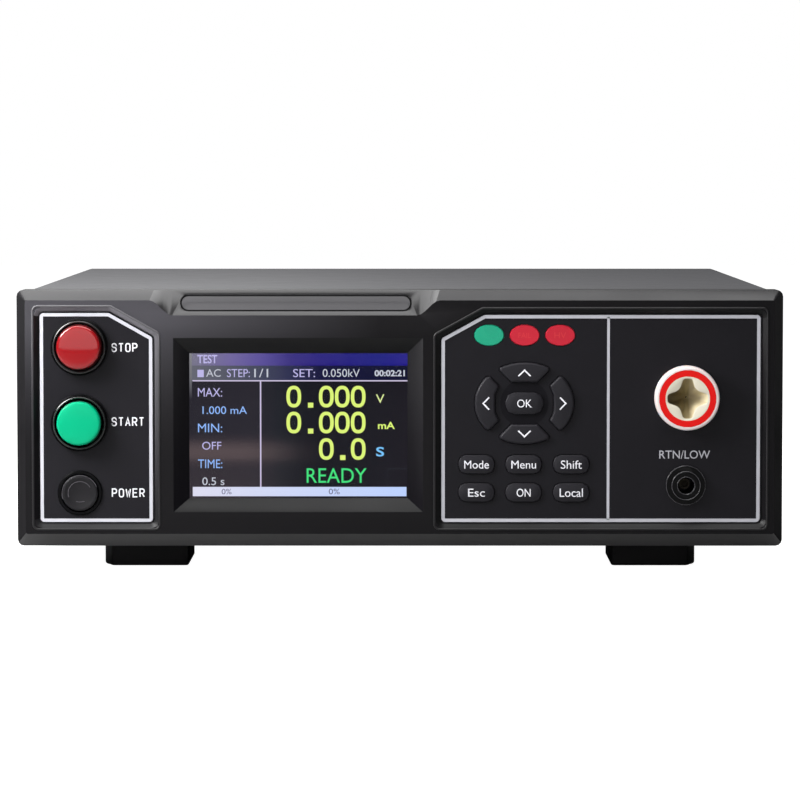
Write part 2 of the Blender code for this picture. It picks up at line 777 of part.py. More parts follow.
def key(name, outline, at):
    """A key cap with a sloped crown, a flange behind the plate and a stem to its switch."""
    middle = sum(outline, Vector((0.0, 0.0))) / len(outline)
    local = [point - middle for point in outline]
    front = PLATE_FRONT - KEY_REACH
    flange_front = PLATE_BACK + CLEAR
    flange_back = flange_front + KEY_FLANGE_SHEET
    stem_end = KEY_BOARD_Y - DOME_HEIGHT - KEY_TRAVEL - CLEAR
    flange = grown(local, KEY_FLANGE)
    stem = scaled(local, KEY_STEM_SCALE)
    crown = grown(local, -KEY_SLOPE)
    rings = [
        facing(stem, stem_end),
        facing(stem, flange_back),
        facing(flange, flange_back),
        facing(flange, flange_front),
        facing(local, flange_front),
        facing(local, front + KEY_CROWN),
        facing(crown, front),
    ]
    place = (at[0] + middle.x, 0.0, at[1] + middle.y)
    part(name, loft(bmesh.new(), rings), KEY_RUBBER, place)


def key_outlines():
    """Every key's name, outline and place on the right plate."""
    small = centred(KEY_WIDTH, KEY_HEIGHT, KEY_RADIUS, 2)
    names = (("mode", "menu", "shift"), ("esc", "on", "local"))
    keys = []
    for row, row_names in zip(KEY_ROWS, names):
        for column, key_name in zip(KEY_COLUMNS, row_names):
            keys.append((f"key_{key_name}", small, (column, row)))
    for direction in ("up", "left", "right", "down"):
        keys.append((f"key_{direction}", arrow_outline(direction), PAD_CENTRE))
    keys.append(("key_ok", centred(OK_WIDTH, OK_HEIGHT, OK_RADIUS, 2), PAD_CENTRE))
    return keys


def shifted(outline, by):
    return [point + Vector(by) for point in outline]


def left_plate():
    sheet = prism(grown(LEFT_LINE, PLATE_MARGIN), PLATE_FRONT, PLATE_BACK)
    plate = part("left_plate", sheet, PLATE_PLASTIC)
    holes = bmesh.new()
    for z, radius in ((STOP_Z, NECK_RADIUS), (START_Z, NECK_RADIUS), (POWER_Z, POWER_NECK_RADIUS)):
        hole = circle(radius + CLEAR, COARSE, (SWITCH_X, z))
        prism(hole, PLATE_FRONT - PLATE_SHEET, PLATE_BACK + PLATE_SHEET, bm=holes)
    cut(plate, holes, "left_plate_holes")


def right_plate():
    sheet = prism(grown(RIGHT_LINE, PLATE_MARGIN), PLATE_FRONT, PLATE_BACK)
    plate = part("right_plate", sheet, PLATE_PLASTIC)
    outlines = [grown(shifted(outline, at), KEY_PLAY) for _, outline, at in key_outlines()]
    outlines += [grown(ellipse(LENS_HALF, COARSE, (x, LENS_Z)), CLEAR) for x in LENS_X]
    outlines.append(circle(HV_NECK_RADIUS + CLEAR, COARSE, (HV_X, HV_Z)))
    outlines.append(circle(RETURN_NECK_RADIUS + CLEAR, COARSE, (RETURN_X, RETURN_Z)))
    holes = bmesh.new()
    for outline in outlines:
        prism(outline, PLATE_FRONT - PLATE_SHEET, PLATE_BACK + PLATE_SHEET, bm=holes)
    cut(plate, holes, "right_plate_holes")


def widened(values, by):
    return values[0] - by, values[1] + by


def display():
    """The window pane behind the bezel, the display module and its driver board."""
    pane = rectangle(widened(SCREEN_X, WINDOW_OVERLAP), widened(SCREEN_Z, WINDOW_OVERLAP))
    part("display_window", prism(pane, SUB_FRONT, SUB_FRONT + WINDOW_SHEET), CLEAR_PANE)
    front = SUB_BACK + CLEAR
    back = front + DISPLAY_THICKNESS
    module_x, module_z = widened(SCREEN_X, DISPLAY_OVERLAP), widened(SCREEN_Z, DISPLAY_OVERLAP)
    module = part("display_module", block(module_x, (front, back), module_z), ALUMINIUM)
    tray = rectangle(widened(SCREEN_X, WINDOW_OVERLAP), widened(SCREEN_Z, WINDOW_OVERLAP))
    cut(module, prism(tray, front - SHEET, front + SHEET), "module_face")
    board_x = widened(module_x, -DISPLAY_BOARD_INSET)
    board_z = widened(module_z, -DISPLAY_BOARD_INSET)
    board_front = back + CLEAR
    part("display_board", block(board_x, (board_front, board_front + BOARD_SHEET), board_z), BOARD_GREEN)


def sub_plate():
    """The steel plate behind the bezel's face, which the switches and sockets clamp to."""
    half = BEZEL_WIDTH / 2 - CHAMFER_SIDE - SHELL_WALL - SUB_PLATE_MARGIN
    bottom = CHAMFER_BOTTOM + SHELL_WALL + SUB_PLATE_MARGIN
    top = BEZEL_HEIGHT - BAND_DROP - SHELL_WALL - SUB_PLATE_MARGIN
    plate = part("sub_plate", block((-half, half), (SUB_FRONT, SUB_BACK), (bottom, top)), BARE_STEEL)
    pane = widened(SCREEN_X, WINDOW_OVERLAP + CLEAR), widened(SCREEN_Z, WINDOW_OVERLAP + CLEAR)
    keys = key_window()
    outlines = [
        rectangle(*pane),
        rectangle(*keys),
        circle(NECK_RADIUS + CLEAR, COARSE, (SWITCH_X, STOP_Z)),
        circle(NECK_RADIUS + CLEAR, COARSE, (SWITCH_X, START_Z)),
        circle(POWER_NECK_RADIUS + CLEAR, COARSE, (SWITCH_X, POWER_Z)),
        circle(HV_NECK_RADIUS + CLEAR, COARSE, (HV_X, HV_Z)),
        circle(RETURN_NECK_RADIUS + CLEAR, COARSE, (RETURN_X, RETURN_Z)),
    ]
    holes = bmesh.new()
    for outline in outlines:
        prism(outline, SUB_FRONT - SHEET, SUB_BACK + SHEET, bm=holes)
    cut(plate, holes, "sub_plate_holes")


def key_window():
    """The opening in the sub plate behind the keys and lamps."""
    left = PAD_CENTRE[0] - PAD_OUTER[0] - KEY_WINDOW_MARGIN
    right = PAD_CENTRE[0] + PAD_OUTER[0] + KEY_WINDOW_MARGIN
    left = min(left, KEY_COLUMNS[0] - KEY_WIDTH / 2 - KEY_WINDOW_MARGIN / 2)
    right = max(right, KEY_COLUMNS[-1] + KEY_WIDTH / 2 + KEY_WINDOW_MARGIN / 2)
    bottom = KEY_ROWS[-1] - KEY_HEIGHT / 2 - KEY_WINDOW_MARGIN / 2
    top = PAD_CENTRE[1] + PAD_OUTER[1] + KEY_WINDOW_MARGIN / 2
    return (left, right), (bottom, top)


def key_board():
    """The board behind the keys and lamps: a dome under each key, and posts to the sub plate."""
    x_range, z_range = key_window()
    x_range = widened(x_range, 2 * POST_INSET)
    bottom = z_range[0] - 2 * POST_INSET
    top = LENS_Z + LENS_HALF[1] - POST_INSET
    board = part(
        "key_board",
        block(x_range, (KEY_BOARD_Y, KEY_BOARD_Y + BOARD_SHEET), (bottom, top)),
        BOARD_GREEN,
    )
    raised = bmesh.new()
    for x in widened(x_range, -POST_INSET):
        for z in (bottom + POST_INSET, z_range[1] + 2 * POST_INSET):
            post = circle(POST_RADIUS, 8, (x, z))
            prism(post, SUB_BACK + CLEAR, KEY_BOARD_Y + BOARD_SHEET / 2, bm=raised)
    for _, outline, at in key_outlines():
        middle = sum(outline, Vector((0.0, 0.0))) / len(outline) + Vector(at)
        dome = circle(DOME_RADIUS, 6, middle)
        prism(dome, KEY_BOARD_Y - DOME_HEIGHT, KEY_BOARD_Y + BOARD_SHEET / 2, bm=raised)
    fuse(board, raised, "key_board_raised")


def lenses():
    """Three oval lamp windows, each with a rim behind the plate."""
    outline = ellipse(LENS_HALF, COARSE)
    front = PLATE_FRONT - LENS_REACH
    rim_front = PLATE_BACK + CLEAR
    for name, x, finish in zip(
        ("lamp_pass", "lamp_fail", "lamp_high_voltage"), LENS_X, (GREEN_PLASTIC, RED_PLASTIC, RED_PLASTIC)
    ):
        rings = [
            facing(grown(outline, LENS_FLANGE), rim_front + LENS_FLANGE),
            facing(grown(outline, LENS_FLANGE), rim_front),
            facing(outline, rim_front),
            facing(outline, front + LENS_REACH),
            facing(grown(outline, -LENS_REACH), front),
        ]
        part(name, loft(bmesh.new(), rings), finish, (x, 0.0, LENS_Z))


def hexagon(width):
    radius = width / 2 / math.cos(math.pi / 6)
    return circle(radius, 6)


def nut(name, x, z, bore, width, height):
    """A hexagon nut behind the sub plate, bored to clear the neck it clamps."""
    front = SUB_BACK + CLEAR
    made = part(name, prism(hexagon(width), front, front + height), BARE_STEEL, (x, 0.0, z))
    hole = prism(circle(bore, COARSE), front - height, front + 2 * height)
    cut(made, hole, f"{name}_bore", (x, 0.0, z))


def contact_block(switch, name, z, neck_end):
    """The contact block on the back of a switch, with two blade terminals."""
    half = BLOCK_WIDTH / 2
    body = block((-half, half), (neck_end - BLOCK_OVERLAP, neck_end + BLOCK_LENGTH), (-half, half))
    fuse(switch, body, f"{name}_block", (SWITCH_X, 0.0, z))
    blades = bmesh.new()
    for side in (-1, 1):
        x = side * half / 2
        end = neck_end + BLOCK_LENGTH
        blade = widened((x, x), PIN_SIZE[0] / 2)
        depth = (end - PIN_SIZE[1], end + TERMINAL_LENGTH)
        block(blade, depth, (-PIN_SIZE[1] / 2, PIN_SIZE[1] / 2), bm=blades)
    fuse(switch, blades, f"{name}_blades", (SWITCH_X, 0.0, z))


def round_switch(name, z, finish):
    """A momentary push button: black ring and neck, contact block, nut and a raised coloured cap."""
    ring_front = SEAT_FRONT - RING_HEIGHT
    floor = SEAT_FRONT - RING_FLOOR
    neck_end = SEAT_FRONT + NECK_LENGTH
    cap_front = PLATE_FRONT - CAP_REACH
    skirt_back = floor - CAP_TRAVEL - CLEAR
    stem_end = skirt_back + STEM_LENGTH
    housing = [
        (STEM_RADIUS + SWITCH_PLAY, stem_end + CAP_TRAVEL + STOP_DEPTH),
        (STEM_RADIUS + SWITCH_PLAY, floor),
        (RING_WELL_RADIUS, floor),
        (RING_WELL_RADIUS, ring_front + RING_LIP),
        (RING_WELL_RADIUS + RING_LIP, ring_front),
        (RING_RADIUS - RING_CHAMFER, ring_front),
        (RING_RADIUS, ring_front + RING_CHAMFER),
        (RING_RADIUS, SEAT_FRONT),
        (NECK_RADIUS, SEAT_FRONT),
        (NECK_RADIUS, neck_end),
    ]
    switch = part(f"{name}_switch", turned(housing), BLACK_PLASTIC, (SWITCH_X, 0.0, z))
    contact_block(switch, name, z, neck_end)
    bore = NECK_RADIUS + CLEAR
    nut(f"{name}_nut", SWITCH_X, z, bore, NUT_WIDTH, NUT_HEIGHT)
    cap = [
        (STEM_RADIUS, stem_end),
        (STEM_RADIUS, skirt_back),
        (CAP_WALL_RADIUS, skirt_back),
        (CAP_EDGE_RADIUS, cap_front + CAP_EDGE_DEPTH),
        (CAP_FACE_RADIUS, cap_front + CAP_CROWN),
        (CAP_FACE_RADIUS / 2, cap_front),
    ]
    part(f"{name}_button", turned(cap), finish, (SWITCH_X, 0.0, z))


def power_switch():
    """The latching power button, nearly flush in its ring."""
    ring_front = SEAT_FRONT - POWER_RING_HEIGHT
    cap_front = PLATE_FRONT - POWER_CAP_REACH
    cap_back = cap_front + POWER_CAP_LENGTH
    floor = cap_back + POWER_PRESS + CLEAR
    neck_end = SEAT_FRONT + NECK_LENGTH
    stem_end = floor + STOP_DEPTH
    housing = [
        (POWER_STEM_RADIUS + SWITCH_PLAY, stem_end + POWER_PRESS + STOP_DEPTH),
        (POWER_STEM_RADIUS + SWITCH_PLAY, floor),
        (POWER_WELL_RADIUS, floor),
        (POWER_WELL_RADIUS, ring_front),
        (POWER_RING_RADIUS - RING_CHAMFER, ring_front),
        (POWER_RING_RADIUS, ring_front + RING_CHAMFER),
        (POWER_RING_RADIUS, SEAT_FRONT),
        (POWER_NECK_RADIUS, SEAT_FRONT),
        (POWER_NECK_RADIUS, neck_end),
    ]
    switch = part("power_switch", turned(housing), BLACK_PLASTIC, (SWITCH_X, 0.0, POWER_Z))
    contact_block(switch, "power", POWER_Z, neck_end)
    edge = POWER_CAP_EDGE
    cap = [
        (POWER_STEM_RADIUS, stem_end),
        (POWER_STEM_RADIUS, cap_back),
        (POWER_CAP_RADIUS, cap_back),
        (POWER_CAP_RADIUS, cap_front + edge),
        (POWER_CAP_RADIUS - edge / 4, cap_front + edge / 4),
        (POWER_CAP_RADIUS - edge, cap_front),
        (POWER_CAP_RADIUS - 1.5 * edge, cap_front),
        (POWER_CAP_RADIUS - 2 * edge, cap_front + edge / 4),
    ]
    part("power_button", turned(cap), BLACK_PLASTIC, (SWITCH_X, 0.0, POWER_Z))


def star_outline():
    """The cross-shaped mouth: four arms that narrow to round tips, with wide fillets between them."""
    arm = [
        (HV_STAR_ROOT, HV_STAR_ROOT, HV_STAR_ROOT_RADIUS),
        (HV_STAR_TIP, HV_STAR_REACH, HV_STAR_TIP_RADIUS),
        (-HV_STAR_TIP, HV_STAR_REACH, HV_STAR_TIP_RADIUS),
    ]
    corners = []
    for turn in range(4):
        spin = Matrix.Rotation(turn * math.pi / 2, 2)
        for x, z, radius in arm:
            point = spin @ Vector((x, z))
            corners.append((point.x, point.y, radius))
    return rounded(corners)


def high_voltage_socket():
    front = PLATE_FRONT - HV_REACH
    neck_end = SEAT_FRONT + HV_NECK_LENGTH
    groove = front + HV_RING_DEPTH + CLEAR
    hole_end = front + HV_HOLE_DEPTH
    bore = HV_PIN_RADIUS + PIN_PLAY
    body = [
        (bore, neck_end),
        (bore, front),
        (HV_RING_INNER - CLEAR, front),
        (HV_RING_INNER - CLEAR, groove),
        (HV_RING_OUTER + CLEAR, groove),
        (HV_RING_OUTER + CLEAR, front),
        (HV_RADIUS - HV_CHAMFER, front),
        (HV_RADIUS, front + HV_CHAMFER),
        (HV_BASE_RADIUS, SEAT_FRONT),
        (HV_NECK_RADIUS, SEAT_FRONT),
        (HV_NECK_RADIUS, neck_end),
    ]
    at = (HV_X, 0.0, HV_Z)
    socket = part("hv_socket", turned(body, closed=True), WHITE_PLASTIC, at)
    cut(socket, prism(star_outline(), front - HV_REACH, front + HV_STAR_DEPTH), "hv_mouth", at)
    cut(socket, prism(circle(HV_BORE_RADIUS, COARSE), front, hole_end), "hv_bore", at)
    ring = [
        (HV_RING_INNER, front),
        (HV_RING_OUTER, front),
        (HV_RING_OUTER, front + HV_RING_DEPTH),
        (HV_RING_INNER, front + HV_RING_DEPTH),
    ]
    part("hv_ring", turned(ring, closed=True), RED_PLASTIC, at)
    pin = [
        (HV_PIN_RADIUS / 2, hole_end - HV_PIN_LENGTH),
        (HV_PIN_RADIUS, hole_end - HV_PIN_LENGTH + HV_PIN_RADIUS / 2),
        (HV_PIN_RADIUS, neck_end + CLEAR),
        (2 * HV_PIN_RADIUS, neck_end + CLEAR),
        (2 * HV_PIN_RADIUS, neck_end + PIN_TAIL),
    ]
    part("hv_contact", turned(pin, SMALL), BRASS, at)
    width = 2 * (HV_NECK_RADIUS + SOCKET_NUT_WALL)
    nut("hv_nut", HV_X, HV_Z, HV_NECK_RADIUS + CLEAR, width, SOCKET_NUT_HEIGHT)


def return_socket():
    """The low-side socket: shrouded mouth, sleeve contact inside, nut behind."""
    front = PLATE_FRONT - RETURN_COLLAR_HEIGHT
    flange = PLATE_FRONT - RETURN_FLANGE_HEIGHT
    neck_end = SEAT_FRONT + RETURN_NECK_LENGTH
    floor = front + RETURN_MOUTH_DEPTH
    tail = RETURN_CONTACT_RADIUS / 2
    body = [
        (RETURN_MOUTH_RADIUS, floor),
        (RETURN_MOUTH_RADIUS, front + RING_CHAMFER),
        (RETURN_MOUTH_RADIUS + RING_CHAMFER, front),
        (RETURN_COLLAR_RADIUS - RING_CHAMFER, front),
        (RETURN_COLLAR_RADIUS, front + RING_CHAMFER),
        (RETURN_COLLAR_RADIUS, flange),
        (RETURN_FLANGE_RADIUS - RING_CHAMFER, flange),
        (RETURN_FLANGE_RADIUS, flange + RING_CHAMFER),
        (RETURN_FLANGE_RADIUS, SEAT_FRONT),
        (RETURN_NECK_RADIUS, SEAT_FRONT),
        (RETURN_NECK_RADIUS, neck_end),
        (tail + PIN_PLAY, neck_end),
        (tail + PIN_PLAY, floor),
    ]
    at = (RETURN_X, 0.0, RETURN_Z)
    part("return_socket", turned(body, COARSE, closed=True), BLACK_PLASTIC, at)
    contact_front = floor - CLEAR - RETURN_CONTACT_LENGTH
    contact = [
        (RETURN_CONTACT_BORE, floor - CLEAR - RETURN_CONTACT_RADIUS),
        (RETURN_CONTACT_BORE, contact_front),
        (RETURN_CONTACT_RADIUS, contact_front),
        (RETURN_CONTACT_RADIUS, floor - CLEAR),
        (tail, floor - CLEAR),
        (tail, neck_end + PIN_TAIL),
    ]
    part("return_contact", turned(contact, COARSE), BRASS, at)
    width = 2 * (RETURN_NECK_RADIUS + SOCKET_NUT_WALL)
    nut("return_nut", RETURN_X, RETURN_Z, RETURN_NECK_RADIUS + CLEAR, width, SOCKET_NUT_HEIGHT)


def top_cover():
    """The folded cover: top and two sides, with a row of vents in each side."""
    half = BEZEL_WIDTH / 2 - COVER_STEP
    top = BEZEL_HEIGHT - COVER_STEP
    outer_radius, inner_radius = COVER_RADIUS, COVER_RADIUS - SHEET
    outline = rounded(
        [
            (half, TRAY_BOTTOM, 0.0),
            (half, top, outer_radius),
            (-half, top, outer_radius),
            (-half, TRAY_BOTTOM, 0.0),
            (-half + SHEET, TRAY_BOTTOM, 0.0),
            (-half + SHEET, top - SHEET, inner_radius),
            (half - SHEET, top - SHEET, inner_radius),
            (half - SHEET, TRAY_BOTTOM, 0.0),
        ]
    )
    cover = part("top_cover", prism(outline, SKIRT_DEPTH + CLEAR, CASE_LENGTH), PAINTED_STEEL)
    slots = bmesh.new()
    for index in range(VENT_COUNT):
        y = VENT_FIRST_Y + index * VENT_PITCH
        slot = centred(VENT_WIDTH, VENT_HEIGHT, 0.45 * VENT_WIDTH, 1, (y, VENT_Z))
        for side in (-1, 1):
            edge = side * (half - SHEET / 2)
            prism(slot, edge - 2 * SHEET, edge + 2 * SHEET, sideways, slots)
    cut(cover, slots, "cover_vents")


def board_posts():
    return [
        (x, y)
        for x in widened(MAIN_BOARD_X, -MAIN_BOARD_INSET)
        for y in widened(MAIN_BOARD_Y, -MAIN_BOARD_INSET)
    ]


def chassis_tray():
    """The bottom tray: floor, two side lips and the posts under the main board."""
    half = TRAY_HALF
    lip = TRAY_BOTTOM + TRAY_LIP
    outline = rounded(
        [
            (-half, TRAY_BOTTOM, 0.0),
            (half, TRAY_BOTTOM, 0.0),
            (half, lip, 0.0),
            (half - SHEET, lip, 0.0),
            (half - SHEET, TRAY_TOP, 0.0),
            (-half + SHEET, TRAY_TOP, 0.0),
            (-half + SHEET, lip, 0.0),
            (-half, lip, 0.0),
        ]
    )
    tray = part("chassis_tray", prism(outline, SKIRT_DEPTH + CLEAR, CASE_LENGTH), BARE_STEEL)
    posts = bmesh.new()
    for place in board_posts():
        post = circle(STANDOFF_RADIUS, SMALL, place)
        prism(post, TRAY_BOTTOM + SHEET / 2, TRAY_TOP + STANDOFF_HEIGHT, level, posts)
    fuse(tray, posts, "tray_posts")


def main_board():
    """The main board with its relays and capacitors, and the heat sink on it."""
    top = BOARD_Z + BOARD_SHEET
    board = part("main_board", block(MAIN_BOARD_X, MAIN_BOARD_Y, (BOARD_Z, top)), BOARD_GREEN)
    parts_on = bmesh.new()
    sunk = top - BOARD_SHEET / 2
    for index in range(RELAY_COUNT):
        centre = (MAIN_BOARD_X[0] + RELAY_INSET, RELAY_FIRST_Y + index * RELAY_PITCH)
        box_at(centre, RELAY_SIZE[:2], (sunk, top + RELAY_SIZE[2]), bm=parts_on)
    for index in range(CAPACITOR_COUNT):
        centre = (MAIN_BOARD_X[1] - CAPACITOR_INSET, CAPACITOR_FIRST_Y + index * CAPACITOR_PITCH)
        can = circle(CAPACITOR_RADIUS, SMALL, centre)
        prism(can, sunk, top + CAPACITOR_HEIGHT, level, parts_on)
    fuse(board, parts_on, "board_parts")
    pitch = (SINK_WIDTH - SINK_FIN) / (SINK_FINS - 1)
    comb = [(-SINK_WIDTH / 2, 0.0), (SINK_WIDTH / 2, 0.0)]
    for index in reversed(range(SINK_FINS)):
        left = -SINK_WIDTH / 2 + index * pitch
        if index < SINK_FINS - 1:
            comb.append((left + SINK_FIN, SINK_BASE))
        comb.append((left + SINK_FIN, SINK_BASE + SINK_FIN_HEIGHT))
        comb.append((left, SINK_BASE + SINK_FIN_HEIGHT))
        if index:
            comb.append((left, SINK_BASE))
    outline = [Vector(point) for point in comb]
    at = (SINK_CENTRE[0], SINK_CENTRE[1], top + CLEAR)
    part("heat_sink", prism(outline, -SINK_LENGTH / 2, SINK_LENGTH / 2), ALUMINIUM, at)


def transformer():
    """The high-voltage transformer: laminated core on two flanges, winding round its middle leg."""
    at = (CORE_CENTRE[0], CORE_CENTRE[1], TRAY_TOP + CLEAR)
    half, stack = CORE_WIDTH / 2, CORE_STACK / 2
    stacked = block((-half, half), (-stack, stack), (0.0, CORE_HEIGHT))
    core = part("transformer_core", stacked, BARE_STEEL, at)
    inner = CORE_LEG / 2
    outer = half - CORE_YOKE
    windows = bmesh.new()
    for side in (-1, 1):
        x_range = sorted((side * inner, side * outer))
        block(x_range, (-2 * stack, 2 * stack), (CORE_YOKE, CORE_HEIGHT - CORE_YOKE), bm=windows)
    cut(core, windows, "core_windows", at)
    flange, depth = half + CORE_FLANGE, stack * CORE_FLANGE_SHARE
    fuse(core, block((-flange, flange), (-depth, depth), (0.0, CORE_FLANGE_SHEET)), "core_feet", at)
    coil = outer - WINDING_PLAY
    z_range = widened((CORE_YOKE, CORE_HEIGHT - CORE_YOKE), -WINDING_PLAY)
    overhang = outer - inner
    outside = centred(2 * coil, 2 * (stack + overhang), WINDING_RADIUS)
    winding = part("transformer_winding", prism(outside, *z_range, level), COPPER, at)
    leg = centred(2 * (inner + WINDING_PLAY), 2 * (stack + WINDING_PLAY))
    cut(winding, prism(leg, 0.0, CORE_HEIGHT, level), "winding_hole", at)


def rear_panel():
    half = TRAY_HALF - SHEET - CLEAR
    bottom = TRAY_TOP + CLEAR
    top = BEZEL_HEIGHT - COVER_STEP - SHEET - CLEAR
    outline = rectangle((-half, half), (bottom, top), REAR_RADIUS)
    panel = part("rear_panel", prism(outline, REAR_INNER, REAR_OUTER), PAINTED_STEEL)
    inlet = centred(INLET_BODY[0] + 2 * CLEAR, INLET_BODY[1] + 2 * CLEAR, 0.0, 1, (INLET_X, INLET_Z))
    outlines = [
        circle(FAN_DUCT_RADIUS, FINE, (FAN_X, FAN_Z)),
        inlet,
        circle(STUD_RADIUS + CLEAR, COARSE, (EARTH_X, EARTH_Z)),
        shifted(grown(port_outline(SERIAL_WIDTH), CLEAR), (SERIAL_X, PORT_Z)),
        shifted(grown(port_outline(CONTROL_WIDTH), CLEAR), (CONTROL_X, PORT_Z)),
    ]
    holes = bmesh.new()
    for outline in outlines:
        prism(outline, REAR_INNER - SHEET, REAR_OUTER + SHEET, bm=holes)
    cut(panel, holes, "rear_holes")


def port_outline(width):
    """The D-shaped shell of a port: its upper edge is the longer one."""
    half, height = width / 2 - PORT_SHELL[0], PORT_SHELL[1] / 2
    corners = [
        (-half + PORT_SLANT, -height),
        (half - PORT_SLANT, -height),
        (half, height),
        (-half, height),
    ]
    return rounded([(x, z, PORT_SLANT) for x, z in corners], 2)


def port(name, x, width):
    """A D-shaped port: flange on the panel, hollow shell outwards, body inwards."""
    seat = REAR_OUTER + CLEAR
    flange = centred(width, PORT_HEIGHT, PORT_SLANT, 2)
    at = (x, 0.0, PORT_Z)
    made = part(name, prism(flange, seat, seat + PORT_FLANGE), BARE_STEEL, at)
    shell = port_outline(width)
    fuse(made, prism(shell, REAR_INNER - PORT_BODY_DEPTH, seat + PORT_SHELL_REACH), f"{name}_shell", at)
    cavity = grown(shell, -PORT_WALL)
    cut(made, prism(cavity, seat - SHEET, seat + 2 * PORT_SHELL_REACH), f"{name}_cavity", at)
    tongue = scaled(cavity, PORT_TONGUE_SCALE)
    fuse(made, prism(tongue, seat - 2 * SHEET, seat + PORT_TONGUE_REACH), f"{name}_tongue", at)


def fan():
    """Fan frame with its motor mount, the bladed rotor, and the finger guard outside the panel."""
    back = REAR_INNER - CLEAR
    front = back - FAN_DEPTH
    at = (FAN_X, 0.0, FAN_Z)
    shell = prism(centred(FAN_SIZE, FAN_SIZE, FAN_CORNER), front, back)
    frame = part("fan_frame", shell, BLACK_PLASTIC, at)
    cut(frame, prism(circle(FAN_DUCT_RADIUS), front - SHEET, back + SHEET), "fan_duct", at)
    mount = prism(circle(FAN_HUB_RADIUS, COARSE), front, front + FAN_MOUNT)
    fuse(frame, mount, "fan_mount", at)
    struts = bmesh.new()
    for turn in range(4):
        inner, outer = FAN_STRUT_ROOT, FAN_DUCT_RADIUS + FAN_WALL / 2
        bar = [Vector((inner, -FAN_STRUT / 2)), Vector((outer, -FAN_STRUT / 2))]
        bar += [Vector((outer, FAN_STRUT / 2)), Vector((inner, FAN_STRUT / 2))]
        spin = Matrix.Rotation(math.pi / 4 + turn * math.pi / 2, 2)
        strut = [spin @ point for point in bar]
        prism(strut, front + SHEET / 2, front + FAN_MOUNT - SHEET / 2, bm=struts)
    fuse(frame, struts, "fan_struts", at)
    rotor_front = front + FAN_MOUNT + CLEAR
    rotor_back = rotor_front + FAN_ROTOR_DEPTH
    hub = [
        (FAN_HUB_RADIUS, rotor_front),
        (FAN_HUB_RADIUS, rotor_back - SHEET),
        (FAN_HUB_RADIUS - SHEET, rotor_back),
    ]
    rotor = part("fan_rotor", turned(hub, COARSE), BLACK_PLASTIC, at)
    blades = bmesh.new()
    middle = (rotor_front + rotor_back) / 2
    tip = FAN_DUCT_RADIUS - FAN_TIP_GAP
    for index in range(FAN_BLADES):
        fan_blade(blades, index * 2 * math.pi / FAN_BLADES, middle, tip)
    fuse(rotor, blades, "rotor_blades", at)
    fan_guard(at)


def fan_blade(bm, angle, middle, tip):
    """One pitched and swept blade, lofted from its root inside the hub to its tip."""
    rings = []
    for station in range(FAN_BLADE_STATIONS + 1):
        share = station / FAN_BLADE_STATIONS
        radius = FAN_ROOT_RADIUS + (tip - FAN_ROOT_RADIUS) * share
        pitch = FAN_ROOT_PITCH + (FAN_TIP_PITCH - FAN_ROOT_PITCH) * share
        turn = angle + FAN_SWEEP * share
        ring = []
        for along, across in ((-1, -1), (1, -1), (1, 1), (-1, 1)):
            chord = along * FAN_BLADE_CHORD / 2
            thick = across * FAN_BLADE_SHEET / 2
            depth = chord * math.sin(pitch) + thick * math.cos(pitch)
            around = chord * math.cos(pitch) - thick * math.sin(pitch)
            bearing = turn + around / radius
            ring.append((radius * math.cos(bearing), middle + depth, radius * math.sin(bearing)))
        rings.append(ring)
    loft(bm, rings)


def fan_guard(at):
    """Flat rings on two crossed bars, whose ends reach the fan's four screws."""
    front = REAR_OUTER + CLEAR
    back = front + GUARD_BAR
    half = GUARD_BAR / 2
    radii = [GUARD_OUTER * (step + 1) / GUARD_RING_COUNT for step in range(GUARD_RING_COUNT)]
    rims = [(radius - half, radius + half) for radius in radii]
    profiles = [[(inner, front), (outer, front), (outer, back), (inner, back)] for inner, outer in rims]
    guard = part("fan_guard", turned(profiles[-1], FINE, closed=True), BARE_STEEL, at)
    inner_rings = bmesh.new()
    for profile in profiles[:-1]:
        turned(profile, COARSE, closed=True, bm=inner_rings)
    bars = bmesh.new()
    reach = math.sqrt(2.0) * (FAN_SIZE / 2 - FAN_SCREW_INSET) + GUARD_LUG
    cross = []
    for turn in range(4):
        spin = Matrix.Rotation(math.pi / 4 + turn * math.pi / 2, 2)
        cross += [spin @ Vector(point) for point in ((half, half), (half, reach), (-half, reach))]
    prism(cross, front + half / 2, back - half / 2, bm=bars)
    fuse(guard, bars, "guard_bars", at)
    fuse(guard, inner_rings, "guard_rings", at)


def inlet_mouth():
    """The mains inlet's mouth: a rectangle whose two lower corners are cut off."""
    half_w, half_h = INLET_MOUTH[0] / 2, INLET_MOUTH[1] / 2
    corners = [
        (-half_w + INLET_MOUTH_CUT, -half_h),
        (half_w - INLET_MOUTH_CUT, -half_h),
        (half_w, -half_h + INLET_MOUTH_CUT),
        (half_w, half_h),
        (-half_w, half_h),
        (-half_w, -half_h + INLET_MOUTH_CUT),
    ]
    return [Vector((x + INLET_MOUTH_X, z)) for x, z in corners]


